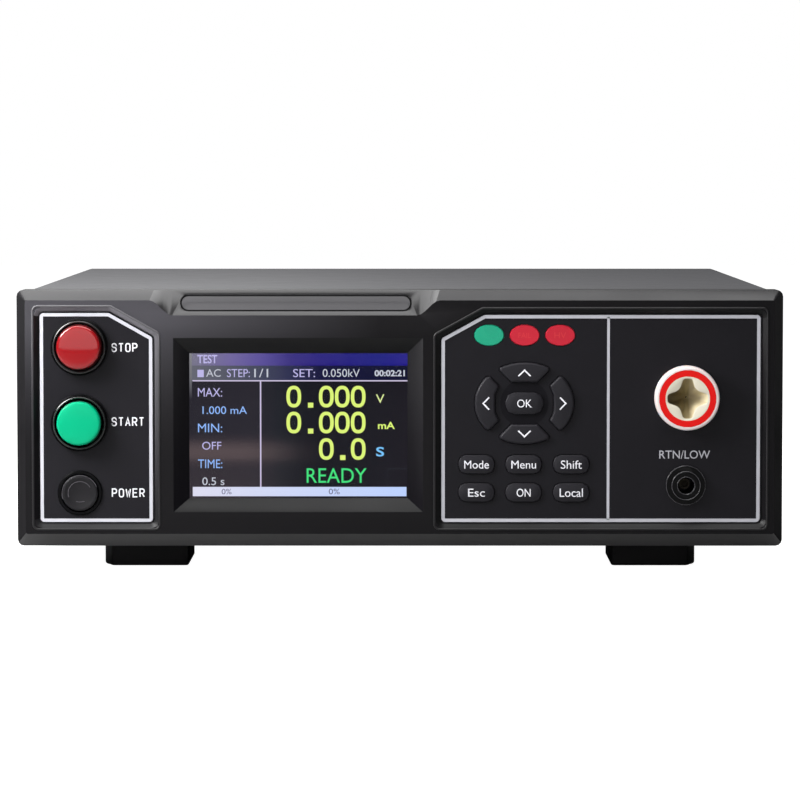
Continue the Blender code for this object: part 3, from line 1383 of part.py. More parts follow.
def mains_inlet():
    """The mains inlet with three pins, and the fuse drawer beside its mouth."""
    at = (INLET_X, 0.0, INLET_Z)
    seat = REAR_OUTER + CLEAR
    face = seat + INLET_FLANGE
    flange = centred(INLET_WIDTH, INLET_HEIGHT, INLET_FLANGE)
    inlet = part("mains_inlet", prism(flange, seat, face), BLACK_PLASTIC, at)
    body = centred(INLET_BODY[0], INLET_BODY[1])
    fuse(inlet, prism(body, face - INLET_BODY_DEPTH, face - INLET_FLANGE / 2), "inlet_body", at)
    floor = face - INLET_MOUTH_DEPTH
    well = centred(DRAWER_SIZE[0] + 2 * CLEAR, DRAWER_SIZE[1] + 2 * CLEAR, 0.0, 1, (DRAWER_X, 0.0))
    hollows = prism(inlet_mouth(), floor, face + INLET_FLANGE)
    prism(well, face - DRAWER_DEPTH - CLEAR, face + INLET_FLANGE, bm=hollows)
    cut(inlet, hollows, "inlet_hollows", at)
    pins = bmesh.new()
    half_x, half_z = PIN_SIZE[0] / 2, PIN_SIZE[1] / 2
    for side, lift in ((-1, -1), (0, 1), (1, -1)):
        x = INLET_MOUTH_X + side * PIN_SPREAD
        z = lift * half_z
        depth = (floor - INLET_FLANGE, floor + PIN_REACH)
        block((x - half_x, x + half_x), depth, (z - half_z, z + half_z), bm=pins)
    fuse(inlet, pins, "inlet_pins", at)
    drawer = centred(DRAWER_SIZE[0], DRAWER_SIZE[1])
    drawer_at = (INLET_X + DRAWER_X, face, INLET_Z)
    made = part("fuse_drawer", prism(drawer, -DRAWER_DEPTH, DRAWER_REACH), BLACK_PLASTIC, drawer_at)
    grip = centred(DRAWER_SIZE[0] + SHEET, DRAWER_REACH, 0.0, 1, (0.0, DRAWER_SIZE[1] / 4))
    cut(made, prism(grip, DRAWER_REACH / 2, 2 * DRAWER_REACH), "drawer_grip", drawer_at)
    holder = centred(DRAWER_SIZE[0] + SHEET, DRAWER_SIZE[1] / 2)
    cut(made, prism(holder, -DRAWER_DEPTH + SHEET, -DRAWER_DEPTH / 4), "drawer_bay", drawer_at)


def earth_terminal():
    """The earth stud through the rear panel and its ribbed thumb nut."""
    seat = REAR_OUTER + CLEAR
    at = (EARTH_X, 0.0, EARTH_Z)
    stud = [
        (STUD_RADIUS, REAR_INNER - STUD_TAIL),
        (STUD_RADIUS, seat),
        (STUD_BASE_RADIUS, seat),
        (STUD_BASE_RADIUS, seat + STUD_BASE),
        (STUD_RADIUS, seat + STUD_BASE),
        (STUD_RADIUS, seat + STUD_BASE + STUD_REACH - STUD_TIP_LENGTH),
        (STUD_TIP_RADIUS, seat + STUD_BASE + STUD_REACH),
    ]
    part("earth_stud", turned(stud, COARSE), BRASS, at)
    start = seat + STUD_BASE + CLEAR
    ribs = []
    for index in range(2 * KNOB_RIBS):
        angle = math.pi * index / KNOB_RIBS
        radius = KNOB_RADIUS - (KNOB_RIB_DEPTH if index % 2 else 0.0)
        ribs.append(Vector((radius * math.cos(angle), radius * math.sin(angle))))
    ribs.reverse()
    small = scaled(ribs, 1 - KNOB_RIB_DEPTH / KNOB_RADIUS)
    ends = [facing(small, start), facing(ribs, start + KNOB_RIB_DEPTH)]
    ends += [facing(ribs, start + KNOB_LENGTH - KNOB_RIB_DEPTH), facing(small, start + KNOB_LENGTH)]
    knob = part("earth_knob", loft(bmesh.new(), ends), BRASS, at)
    bore = prism(circle(STUD_RADIUS + CLEAR, COARSE), start - KNOB_LENGTH, start + 2 * KNOB_LENGTH)
    cut(knob, bore, "knob_bore", at)


def foot_outline(side, cut_corner):
    """A foot's plan about its own middle; the front pair has its outer front corner cut off."""
    half_w, half_l = FOOT_WIDTH / 2, FOOT_LENGTH / 2
    cut_x, cut_y = FOOT_CORNER_CUT
    corners = [(-half_w, half_l), (half_w, half_l), (half_w, -half_l)]
    if cut_corner:
        corners += [(-half_w + cut_x, -half_l), (-half_w, -half_l + cut_y)]
    else:
        corners.append((-half_w, -half_l))
    return rounded([(-side * x, y, FOOT_RADIUS) for x, y in corners], 2)


def foot(name, side, middle_y, cut_corner):
    at = (side * FOOT_CENTRE_X, middle_y, 0.0)
    top = TRAY_BOTTOM - CLEAR
    outline = foot_outline(side, cut_corner)
    chamfer = FOOT_RADIUS / 2
    signed = chamfer if area(outline) > 0 else -chamfer
    rings = [
        level(grown(outline, -signed), -FOOT_DROP),
        level(outline, -FOOT_DROP + chamfer),
        level(outline, top),
    ]
    return part(name, loft(bmesh.new(), rings), FOOT_RUBBER, at)


def area(outline):
    """Twice the outline's signed area, positive when it runs counter-clockwise."""
    return sum(a.x * b.y - b.x * a.y for a, b in zip(outline, outline[1:] + outline[:1]))


def feet():
    """Four feet; the front pair each holds a fold-out tilt leg in a bay underneath."""
    front_y = FOOT_FRONT_Y + FOOT_LENGTH / 2
    for label, side in (("left", -1), ("right", 1)):
        foot(f"foot_rear_{label}", side, REAR_FOOT_Y + FOOT_LENGTH / 2, False)
        front_foot = foot(f"foot_front_{label}", side, front_y, True)
        pivot_z = -FOOT_DROP + LEG_LIFT + LEG_SHEET / 2
        pivot_y = FOOT_FRONT_Y + (FOOT_LENGTH - LEG_LENGTH) / 2 + LEG_SHEET / 2
        centre_x = side * FOOT_CENTRE_X
        bay_x = widened((centre_x, centre_x), LEG_WIDTH / 2 + LEG_PLAY)
        bay_y = (pivot_y - LEG_SHEET / 2 - LEG_PLAY, pivot_y - LEG_SHEET / 2 + LEG_LENGTH + 3 * LEG_PLAY)
        bay_z = (-FOOT_DROP - LEG_SHEET, pivot_z + LEG_SHEET / 2 + LEG_PLAY)
        cut(front_foot, block(bay_x, bay_y, bay_z), f"bay_{label}")
        sockets = circle(LEG_PIN_RADIUS + CLEAR, SMALL, (pivot_y, pivot_z))
        reach = LEG_WIDTH / 2 + LEG_PIN_LENGTH + CLEAR
        cut(front_foot, prism(sockets, centre_x - reach, centre_x + reach, sideways), f"pivot_{label}")
        tilt_leg(label, (centre_x, pivot_y, pivot_z))


def tilt_leg(label, pivot):
    """A flat leg that swings down about the pins at its front end."""
    radius = LEG_SHEET / 2
    nose = [
        Vector((radius * math.cos(a), radius * math.sin(a)))
        for a in (math.pi / 2 + math.pi * step / 6 for step in range(7))
    ]
    end = LEG_LENGTH - radius
    tail = ((end - radius / 2, -radius), (end, -radius / 2), (end, radius))
    profile = nose + [Vector(point) for point in tail]
    half = LEG_WIDTH / 2
    leg = part(f"tilt_leg_{label}", prism(profile, -half, half, sideways), FOOT_RUBBER, pivot)
    pin = circle(LEG_PIN_RADIUS, SMALL)
    reach = half + LEG_PIN_LENGTH
    fuse(leg, prism(pin, -reach, reach, sideways), f"leg_pins_{label}", pivot)


def build():
    front_bezel()
    name_strip()
    left_plate()
    right_plate()
    display()
    sub_plate()
    for name, outline, at in key_outlines():
        key(name, outline, at)
    key_board()
    lenses()
    round_switch("stop", STOP_Z, RED_PLASTIC)
    round_switch("start", START_Z, GREEN_PLASTIC)
    power_switch()
    high_voltage_socket()
    return_socket()
    top_cover()
    chassis_tray()
    main_board()
    transformer()
    rear_panel()
    port("serial_port", SERIAL_X, SERIAL_WIDTH)
    port("control_port", CONTROL_X, CONTROL_WIDTH)
    fan()
    mains_inlet()
    earth_terminal()
    feet()


build()
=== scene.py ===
"""Looks of the bench hipot tester: fine surfaces, printing, lit display, finishes, studio and camera."""

import json
import math

import bmesh
import bpy
from mathutils import Matrix, Vector

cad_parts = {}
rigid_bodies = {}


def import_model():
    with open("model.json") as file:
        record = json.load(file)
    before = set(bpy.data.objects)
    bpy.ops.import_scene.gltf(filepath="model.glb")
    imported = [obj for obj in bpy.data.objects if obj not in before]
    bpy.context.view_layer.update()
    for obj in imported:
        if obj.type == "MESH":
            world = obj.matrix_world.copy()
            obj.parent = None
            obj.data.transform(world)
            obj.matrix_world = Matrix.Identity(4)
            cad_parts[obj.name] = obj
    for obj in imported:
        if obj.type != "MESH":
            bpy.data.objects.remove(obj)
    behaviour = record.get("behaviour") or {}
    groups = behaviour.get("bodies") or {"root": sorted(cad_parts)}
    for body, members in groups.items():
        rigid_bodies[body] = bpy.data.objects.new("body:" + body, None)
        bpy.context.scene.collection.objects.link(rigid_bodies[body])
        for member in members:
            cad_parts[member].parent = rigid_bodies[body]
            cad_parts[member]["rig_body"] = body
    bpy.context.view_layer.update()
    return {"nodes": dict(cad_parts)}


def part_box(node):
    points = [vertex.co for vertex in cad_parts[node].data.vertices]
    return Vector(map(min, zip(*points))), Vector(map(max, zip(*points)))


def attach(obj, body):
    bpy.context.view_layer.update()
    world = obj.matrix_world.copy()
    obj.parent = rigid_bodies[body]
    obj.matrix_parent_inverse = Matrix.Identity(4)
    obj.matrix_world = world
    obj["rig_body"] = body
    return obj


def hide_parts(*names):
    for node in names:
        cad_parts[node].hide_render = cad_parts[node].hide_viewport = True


for stale in list(bpy.data.objects):
    bpy.data.objects.remove(stale)

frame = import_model()
nodes = frame["nodes"]

# Camera, as found from the photograph's perspective
SENSOR = 0.036
IMAGE_SIDE = 800
FOCAL_PIXELS = 3981.69
CAMERA_PLACE = (0.0037, -2.46937, 0.2320)
CAMERA_PITCH = 0.061005
CAMERA_YAW = 0.0016036
CAMERA_CLIP = (0.05, 40.0)

# Studio: how bright the room is by height and from left to right, and its lights
WHITE_LIGHT = (1.0, 1.0, 1.0, 1.0)
ROOM_RISE = (-0.04, 0.10, 0.05, 0.22)
ROOM_FALL = (-1.0, 1.0, 1.3, 0.5)
SOFTBOXES = (
    ("softbox_overhead", (-0.25, -0.2, 1.15), (-0.2, -0.1, 0.1), (1.5, 1.5), 36.0),
    ("softbox_behind", (-0.5, 0.7, 1.0), (-0.1, 0.0, 0.15), (1.2, 0.9), 6.0),
    ("softbox_front_left", (-0.5, -0.5, 0.4), (-0.2, -0.24, 0.1), (0.25, 0.25), 7.6),
    ("front_card", (-0.3, -1.9, 0.43), (-0.3, -0.24, 0.43), (1.2, 0.8), 5.0),
)
FLOOR_SIZE = 6.0

# Printed lines of the control plates: side, width, corner cut, and whether the cut is on the right
INK = 0.00004
PLATE_MARGIN = 0.0016
PRINT_SHIFT = -0.0003
PLATE_LINES = (("left", 0.00185, (0.0235, 0.0132), True), ("right", 0.0019, (0.0233, 0.0128), False))
LINE_RADIUS = 0.0012
DIVIDER_X = 0.1168
DIVIDER_WIDTH = 0.0015
# Width of the dark line round the name strip: painted shade of the seam between strip and band
STRIP_LINE = 0.0009
# Radius of the darker disc round the OK key: painted shade among the keys
KEYPAD_SHADE_RADIUS = 0.0135

# Raised beads round the control plates, with a half-round section
BEAD_OFFSET = 0.0049
BEAD_RADIUS = 0.0030
BEAD_WIDTH = 0.0012
BEAD_HEIGHT = 0.00045
BEAD_SECTION = ((-0.5, -0.5), (-0.5, 0.0), (-0.36, 0.62), (0.0, 1.0), (0.36, 0.62), (0.5, 0.0), (0.5, -0.5))

# Fine meshes of the CAD nodes
WELD = 2e-6
FLATNESS = math.radians(0.6)
REFINED_ANGLE = 32.0
KEY_ROUNDING = 0.0005
KEY_PILLOW = 0.0007
KEY_INSETS = ((0.0005, 0.33), (0.0007, 0.28), (0.0009, 0.23), (0.0011, 0.16))

# Regions of the bezel and of the ports that have a finish of their own
RECESS_REACH = 0.012
POCKET_REACH = 0.0046
WALL_SLANT = 0.95
CHAMFER_FROM = 0.142
LOWER_TO = 0.03
BAND_X = (-0.139, 0.0215)
LEFT_POCKET_TO = -0.13
SIDE_FROM = 0.2
PORT_SHELL_INSET = 0.0085
TONGUE_SHARE = 0.78
TONGUE_HALF = 0.0027
TONGUE_DEPTH = 0.0045
# Ranges of X and Z over which the face, the beads and the left pocket walls lighten towards the upper left:
# painted light
FACE_PAINTED_LIGHT = ((-0.011, -0.139), (0.05, 0.139))
POCKET_PAINTED_LIGHT = ((-0.13, -0.139), (0.0, 0.147))

# Push caps and their rims, as (radius, depth) rows behind the cap's front or the ring's
CAP_ROWS = (
    (0.0, 0.0), (0.0042, 0.00004), (0.0083, 0.00015), (0.0108, 0.00028), (0.01165, 0.00048),
    (0.01202, 0.00085), (0.01218, 0.0014), (0.0122, 0.0058), (0.0127, 0.0062), (0.01295, 0.0068),
)
CAP_BASE = 0.0130
CAP_GAP = 0.0002
CAP_SIDE = (0.0056, 0.0124)
RIM_ROWS = (
    (0.0149, 0.0006), (0.01488, 0.0), (0.0147, -0.0005), (0.0143, -0.0007), (0.0139, -0.0005),
    (0.01372, 0.0), (0.0137, 0.0012),
)
EDGE_ROWS = ((0.0002, 0.0003), (0.00016, -0.00006), (0.0, -0.00016), (-0.00016, -0.00006), (-0.0002, 0.0003))
# Painted highlights of the power cap: arcs as (name, radius, start and end angle, width), and a short glint
# low on its face
POWER_HIGHLIGHT_ARCS = (("edge", 0.0100, 20, 200, 0.0003), ("inner", 0.0066, 30, 200, 0.00035))
POWER_GLINT = ((-0.0022, -0.0047), (0.0, -0.0050), (0.0026, -0.0046))
POWER_GLINT_WIDTH = 0.00035
LENS_WORDS = (("lamp_fail", "FAIL", (0.0070, 0.0029)), ("lamp_high_voltage", "HV", (0.0066, 0.0034)))

# High-voltage socket: its sleeve and collar, the ring's seat, and the star mouth's rows as
# (outward, depth) at the lip and (depth, share of the way from star to bore) in the funnel
SOCKET_STEPS = 180
SLEEVE = 0.0132
COLLAR_SEAT = 0.002
COLLAR_ROWS = ((0.0003, 0.0009), (0.0005, 0.0004), (0.0009, 0.0001), (0.0014, 0.0))
RING_OUTER = 0.0160
RING_INNER = 0.0124
RING_SEAT = 0.0011
STAR_REACH = 0.0112
STAR_TIP = 0.0024
STAR_TIP_RADIUS = 0.0021
STAR_ROOT = 0.0046
STAR_ROOT_RADIUS = 0.0052
STAR_LIP = ((0.0003, 0.0), (0.0001, 0.0001), (0.0, 0.0004))
FUNNEL = (
    (0.0012, 0.0), (0.0026, 0.06), (0.0042, 0.17), (0.0060, 0.31), (0.0080, 0.48), (0.0100, 0.66),
    (0.0120, 0.83), (0.0138, 0.95), (0.0146, 1.0),
)
LINER_BORE = 0.0014
LINER_HOLE = 0.0005
LINER_ENDS = (0.0150, 0.0168)

# Screws, as (share of the radius, height) rows of the head and of the cross recess
SCREW_STEPS = 64
SCREW_HEAD = ((1.0, -0.1), (1.0, 0.16), (0.94, 0.27), (0.8, 0.35))
SCREW_RECESS = ((1.0, 0.4), (0.9, 0.1), (0.3, 0.08))
CROSS_REACH = 0.56
CROSS_HALF = 0.13
TO_REAR = (0.0, 1.0, 0.0)
PANEL_SCREWS = [(side * 0.203, level) for side in (-1, 1) for level in (0.023, 0.148)]
PANEL_SCREWS += [(0.0, 0.148), (0.02, 0.023)]
FAN_HOLES = 0.03575
INLET_EAR = 0.0036
COVER_SCREWS_Y = (-0.185, 0.02, 0.215)
COVER_SCREW_Z = 0.028
UNDER_SCREWS = [(side * 0.198, y) for side in (-1, 1) for y in (-0.205, 0.0, 0.228)]
UNDER_SCREWS += [(side * 0.09, y) for side in (-1, 1) for y in (-0.12, 0.06, 0.2)]

# Ports: half the spread of the posts and the contacts in each row; the posts as (radius, y) rows
PORTS = (("control_port", 0.0235, (13, 12)), ("serial_port", 0.0125, (5, 4)))
POST_SEAT = 0.0045
POST_ROWS = ((0.0026, 0.0), (0.0026, 0.0048), (0.0022, 0.005), (0.0013, 0.005), (0.0013, 0.002), (0.0, 0.002))
HOLE_FACE = 0.0011
HOLE_ROWS = ((0.0005, 0.0), (0.0005, 0.00006), (0.0, 0.00006))
HOLE_PITCH = 0.0017
HOLE_RISE = 0.0009
HOLE_ROW_GAP = 0.0018

# Earth mark over the knob: a stem and three bars, as (half width, height)
EARTH_STEM = (0.0003, 0.0143, 0.0173)
EARTH_BARS = ((0.0028, 0.0140), (0.0018, 0.0126), (0.0008, 0.0112))
EARTH_STROKE = 0.0006

# Dark sheets just inside the vents
VENT_GAP = 0.0022
VENT_SHEET = 0.0005
VENT_Y = (0.087, 0.191)
VENT_Z = (0.054, 0.117)

# Words on the plates and keys, as text, centre and size, or text, width and height
PEN = 0.00068
BUTTON_WORDS = (
    ("STOP", (-0.1541, 0.1254), (0.0146, 0.0051)),
    ("START", (-0.1524, 0.0838), (0.0183, 0.0051)),
    ("POWER", (-0.1523, 0.0438), (0.0185, 0.0051)),
)
RETURN_WORD = ("RTN/LOW", (0.1597, 0.0654), (0.0284, 0.0046))
KEY_WORDS = {
    "key_mode": ("Mode", 0.0138, 0.0045),
    "key_menu": ("Menu", 0.0138, 0.0045),
    "key_shift": ("Shift", 0.0118, 0.0047),
    "key_esc": ("Esc", 0.0094, 0.0045),
    "key_on": ("ON", 0.0078, 0.0045),
    "key_local": ("Local", 0.0130, 0.0047),
    "key_ok": ("OK", 0.0082, 0.0045),
}
ARROWS = {"key_up": 0.0, "key_left": 90.0, "key_down": 180.0, "key_right": 270.0}
ARROW_SHIFT = {"key_left": -0.0009, "key_right": 0.0009}
CHEVRON_WIDTH = 0.0074
CHEVRON_HEIGHT = 0.0036
CHEVRON_STROKE = 0.00078

# Pen strokes of the narrow letters: across, up, and whether the corner is bent
LETTER_GAP = 0.22
BOWL = [(0, 0, 0), (0, 1, 0), (1, 1, 1), (1, 0.46, 1), (0, 0.46, 0)]
LETTERS = {
    "A": [[(0, 0, 0), (0.5, 1, 0), (1, 0, 0)], [(0.2, 0.32, 0), (0.8, 0.32, 0)]],
    "E": [[(1, 1, 0), (0, 1, 0), (0, 0, 0), (1, 0, 0)], [(0, 0.52, 0), (0.86, 0.52, 0)]],
    "O": [[(0, 0.5, 0), (0, 1, 1), (1, 1, 1), (1, 0, 1), (0, 0, 1), (0, 0.5, 0)]],
    "P": [BOWL],
    "R": [BOWL, [(0.5, 0.46, 0), (1, 0, 0)]],
    "S": [[(1, 0.8, 0), (1, 1, 1), (0, 1, 1), (0, 0.52, 1), (1, 0.52, 1), (1, 0, 1), (0, 0, 1), (0, 0.2, 0)]],
    "T": [[(0, 1, 0), (1, 1, 0)], [(0.5, 1, 0), (0.5, 0, 0)]],
    "W": [[(0, 1, 0), (0.25, 0, 0), (0.5, 0.72, 0), (0.75, 0, 0), (1, 1, 0)]],
}

# Visible screen, and the grid that its picture is laid out on
SCREEN_X = (-0.1181, 0.0043)
SCREEN_Z = (0.0406, 0.1222)
GRID = (218.6, 145.5)
LAYER = 0.00004
PANE_GAP = 0.00026
BLEED = 3.0


def linear(red, green, blue):
    """A colour given as 0 to 255 display values, as the shaders want it."""
    values = []
    for value in (red, green, blue):
        share = value / 255
        values.append(share / 12.92 if share <= 0.04045 else ((share + 0.055) / 1.055) ** 2.4)
    return (*values, 1.0)


def toned(colour, factor):
    return (*(min(1.0, part * factor) for part in colour[:3]), 1.0)


def evenly(*levels):
    """Grey display stops at even places."""
    last = len(levels) - 1
    return [(index / last, (level, level, level)) for index, level in enumerate(levels)]


def shader_node(tree, kind, *row, **named):
    """A new shader node, whose inputs by place or by name are set to values or linked to outputs."""
    made = tree.nodes.new(f"ShaderNode{kind}")
    for place, value in [*enumerate(row), *named.items()]:
        socket = made.inputs[place]
        if isinstance(value, bpy.types.NodeSocket):
            tree.links.new(value, socket)
        else:
            socket.default_value = value
    return made


class Finish:
    """A material whose colour, gloss and relief come from noise at the surface's own scale."""

    def __init__(self, name, colour, roughness, metallic=0.0):
        self.material = bpy.data.materials.new(name)
        self.material.use_nodes = True
        self.tree = self.material.node_tree
        self.shader = self.tree.nodes["Principled BSDF"]
        self.colour = colour
        self.set(Base_Color=colour, Roughness=roughness, Metallic=metallic)
        self.place = self.node("TexCoord").outputs["Object"]

    def node(self, kind, *row, **named):
        return shader_node(self.tree, kind, *row, **named)

    def set(self, **values):
        for name, value in values.items():
            self.shader.inputs[name.replace("_", " ")].default_value = value
        return self

    def feed(self, socket, source):
        self.tree.links.new(source, self.shader.inputs[socket])
        return self

    def noise(self, scale, detail, stretch):
        place = self.place
        if stretch:
            place = self.node("Mapping", Vector=place, Scale=stretch).outputs["Vector"]
        return self.node("TexNoise", Vector=place, Scale=scale, Detail=detail).outputs["Fac"]

    def ramp(self, source, stops):
        made = self.node("ValToRGB", source)
        while len(made.color_ramp.elements) < len(stops):
            made.color_ramp.elements.new(0.5)
        for element, (place, colour) in zip(made.color_ramp.elements, stops):
            element.position = place
            element.color = colour
        return made.outputs["Color"]

    def display_ramp(self, source, stops):
        return self.ramp(source, [(place, linear(*display)) for place, display in stops])

    def mottle(self, scale, spread, stretch=None):
        """The colour drifts lighter and darker over patches of the given scale."""
        stops = [(0.3, toned(self.colour, 1 - spread)), (0.7, toned(self.colour, 1 + spread))]
        return self.feed("Base Color", self.ramp(self.noise(scale, 4.0, stretch), stops))

    def sheen_drift(self, scale, low, high, stretch=None):
        """The roughness drifts between two values."""
        drift = self.node("MapRange", self.noise(scale, 2.0, stretch), 0.3, 0.7, low, high)
        return self.feed("Roughness", drift.outputs["Result"])

    def grain(self, scale, strength, depth, stretch=None):
        """Relief of the given scale and depth."""
        height = self.noise(scale, 2.0, stretch)
        bump = self.node("Bump", Strength=strength, Distance=depth, Height=height)
        return self.feed("Normal", bump.outputs["Normal"])

    def along(self, axis, start, end):
        """How far a point lies between two places along an axis, from 0 to 1."""
        split = self.node("SeparateXYZ", self.place)
        return self.node("MapRange", split.outputs[axis], start, end).outputs["Result"]

    def reckon(self, operation, first, second):
        """A sum of two shader values, the second of which may be a plain number."""
        made = self.node("Math", first, second)
        made.operation = operation
        return made.outputs["Value"]

    def shaded(self, axis, start, end, stops, socket="Base Color"):
        """The colour runs through display stops between two places along an axis."""
        return self.feed(socket, self.display_ramp(self.along(axis, start, end), stops))

    def painted_sheen(self, axis, start, end, stops):
        """Painted light and shade in the sheen: the specular level runs through stops between two places
        along an axis.
        """
        greys = [(place, (value, value, value, 1.0)) for place, value in stops]
        return self.feed("Specular IOR Level", self.ramp(self.along(axis, start, end), greys))

    def painted_corner_light(self, across, up, power, bright):
        """Painted light: the colour lightens towards a corner, over a range of X and a range of Z."""
        rise = self.reckon("POWER", self.along("Z", *up), power)
        share = self.reckon("MULTIPLY", self.along("X", *across), rise)
        return self.feed("Base Color", self.ramp(share, [(0.0, self.colour), (1.0, linear(*bright))]))


def moulded(name, display, roughness, relief, specular=0.5, spread=0.06):
    """Moulded or printed plastic with a fine spark-eroded grain."""
    made = Finish(name, linear(*display), roughness).set(Specular_IOR_Level=specular)
    made.mottle(55.0, spread)
    made.sheen_drift(24.0, roughness - 0.04, roughness + 0.05)
    return made.grain(2600.0, relief, 0.00006)


def metal(name, display, roughness, stretch=(1.0, 1.0, 1.0), relief=0.1):
    made = Finish(name, linear(*display), roughness, 1.0)
    made.mottle(70.0, 0.08, stretch)
    made.sheen_drift(180.0, roughness - 0.06, roughness + 0.08, stretch)
    return made.grain(1400.0, relief, 0.00003, stretch)


BEZEL = moulded("moulded_bezel", (17, 16, 18), 0.34, 0.22, 0.48)
# Painted light: the slope above the plates is the bezel plastic with a sheen that falls from the left to the
# middle and rises a little towards the right, following the light.
CHAMFER = moulded("moulded_chamfer", (17, 16, 18), 0.34, 0.22)
CHAMFER.painted_sheen("X", -0.2, 0.2, ((0.0, 0.28), (0.2, 0.27), (0.5, 0.13), (1.0, 0.22)))
# Painted light: the beads are the bezel plastic, lightening towards the upper left.
BEAD = moulded("moulded_bead", (17, 16, 18), 0.38, 0.1, 0.36).painted_corner_light(*FACE_PAINTED_LIGHT, 2.2, (74, 73, 76))
# Painted light and shade: the left pocket's walls are a darker, less glossy copy of the bezel plastic that
# lightens towards the upper left.
POCKET = moulded("pocket_wall", (12, 12, 13), 0.4, 0.15, 0.16).painted_corner_light(*POCKET_PAINTED_LIGHT, 2.0, (104, 102, 107))
# Painted light: a glossier copy of the bezel plastic brightens the lower slope.
LOWER = moulded("moulded_lower_slope", (17, 16, 18), 0.34, 0.22, 0.68)
# Painted light and shade: the bezel's ends are glossier towards the top.
SIDE = moulded("moulded_side", (15, 14, 16), 0.34, 0.22)
SIDE.painted_sheen("Z", 0.02, 0.15, ((0.0, 0.03), (0.45, 0.06), (1.0, 0.42)))
# Painted light and shade: the front face is a darker, less glossy copy of the bezel plastic that lightens
# towards the upper left.
FACE = moulded("moulded_face", (12, 11, 13), 0.42, 0.22, 0.1).painted_corner_light(*FACE_PAINTED_LIGHT, 2.6, (54, 53, 57))
RING = moulded("switch_ring", (3, 3, 4), 0.4, 0.1, 0.06)
# Painted shade: the walls of the screen recess and of the plate pockets are a darker, less glossy copy of the
# bezel plastic.
RECESS = moulded("recess_wall", (12, 12, 13), 0.4, 0.15, 0.16)
# Painted light and shade: the screen recess's side walls are glossier towards the top.
RECESS_SIDE = moulded("recess_side", (16, 15, 18), 0.4, 0.15)
RECESS_SIDE.painted_sheen("Z", 0.04, 0.125, ((0.0, 0.01), (0.4, 0.05), (1.0, 0.17)))
PLATE = moulded("printed_plate", (19, 18, 22), 0.42, 0.12, 0.12)
STRIP = moulded("name_strip_plate", (42, 41, 44), 0.34, 0.1, 0.3)
KEY = moulded("key_rubber", (30, 29, 33), 0.42, 0.15, 0.14)
RIM = moulded("switch_rim", (30, 31, 31), 0.26, 0.04, spread=0.04)
PUSH_BLACK = moulded("black_cap", (15, 14, 17), 0.36, 0.06, 0.2)
# Painted highlight: the beads at the return socket's steps are lighter than the black socket.
EDGE_HIGHLIGHT = moulded("edge_highlight", (64, 63, 66), 0.24, 0.04)
BLACK = moulded("black_nylon", (18, 18, 20), 0.32, 0.1, 0.3)
GLOSS_BLACK = moulded("polished_black", (5, 5, 6), 0.3, 0.04, 0.1)
FOOT = moulded("foot_rubber", (10, 9, 11), 0.62, 0.5, 0.15)
RED = moulded("red_cap", (114, 5, 11), 0.3, 0.03, 0.02, 0.04).set(Coat_Weight=1.0, Coat_Roughness=0.06)
# Painted shade and reflection: the lower half of the red cap's face is darker than the upper half.
RED.shaded("Z", 0.1115, 0.1135, ((0.0, (96, 3, 8)), (1.0, (116, 5, 11))))
GREEN = moulded("green_cap", (2, 140, 100), 0.34, 0.03, 0.04, 0.04).set(Coat_Weight=0.12, Coat_Roughness=0.1)
# Painted shade: darker copies of the cap colours for the caps' sides, down in their rings.
RED_SIDE_SHADE = moulded("red_cap_side_shade", (52, 8, 10), 0.4, 0.03, 0.2, 0.04)
GREEN_SIDE_SHADE = moulded("green_cap_side_shade", (6, 44, 32), 0.4, 0.03, 0.2, 0.04)
LAMP_RED = moulded("red_lens", (172, 18, 40), 0.3, 0.03, 0.3, 0.04)
LAMP_GREEN = moulded("green_lens", (12, 138, 106), 0.3, 0.03, 0.3, 0.04)
LENS_INK = moulded("lens_ink", (186, 54, 60), 0.5, 0.03, 0.1, 0.02)
RED_RING = moulded("red_ring_ink", (204, 26, 24), 0.5, 0.08, 0.05, 0.03)
WHITE = moulded("ivory_insulator", (212, 200, 198), 0.42, 0.12, spread=0.03)
WHITE.set(Subsurface_Weight=0.15, Subsurface_Scale=0.002)
IVORY = moulded("ivory_lobes", (204, 198, 180), 0.42, 0.12, spread=0.03)
# Painted light and shade in the high-voltage socket's ivory mouth: dark olive on the left, where shadow
# falls, to light beige on the right
MOUTH_PAINTED_SHADE = (
    (0.0, (66, 56, 34)), (0.3, (112, 98, 64)), (0.54, (150, 136, 98)), (0.58, (192, 176, 140)),
    (1.0, (206, 194, 160)),
)
MOUTH = Finish("socket_mouth", linear(190, 178, 146), 0.45).shaded("X", 0.1499, 0.1715, MOUTH_PAINTED_SHADE)
WHITE_INK = moulded("white_ink", (168, 168, 175), 0.55, 0.1, spread=0.02)
WORD_INK = moulded("word_ink", (205, 205, 210), 0.55, 0.1, spread=0.02)
KEY_INK = moulded("key_ink", (216, 216, 222), 0.55, 0.1, spread=0.02)
LEGEND_INK = moulded("legend_ink", (176, 176, 180), 0.55, 0.1, spread=0.02)
# Painted shade: a darker disc among the keys round the OK key.
KEYPAD_SHADE = moulded("keypad_shade", (14, 13, 17), 0.5, 0.1, 0.08)
# Painted highlight: lighter arcs and a glint on the power cap.
POWER_HIGHLIGHT = moulded("cap_highlight", (64, 62, 66), 0.4, 0.03, 0.2, 0.02)
# Painted shade: a dark line standing for the shadow in the seam round the name strip.
GROOVE_SHADE = moulded("strip_groove_shade", (8, 8, 9), 0.5, 0.03, 0.1, 0.02)
PAINT = Finish("powder_coat", linear(46, 46, 49), 0.46)
PAINT.mottle(90.0, 0.03).sheen_drift(60.0, 0.45, 0.49).grain(1150.0, 0.35, 0.00009)
ZINC = metal("zinc_plate", (168, 170, 170), 0.34)
STEEL_DARK = metal("blackened_screw", (48, 48, 50), 0.36)
NICKEL = metal("nickel_plate", (186, 184, 178), 0.26)
BRASS = metal("brass_turned", (190, 152, 84), 0.28)
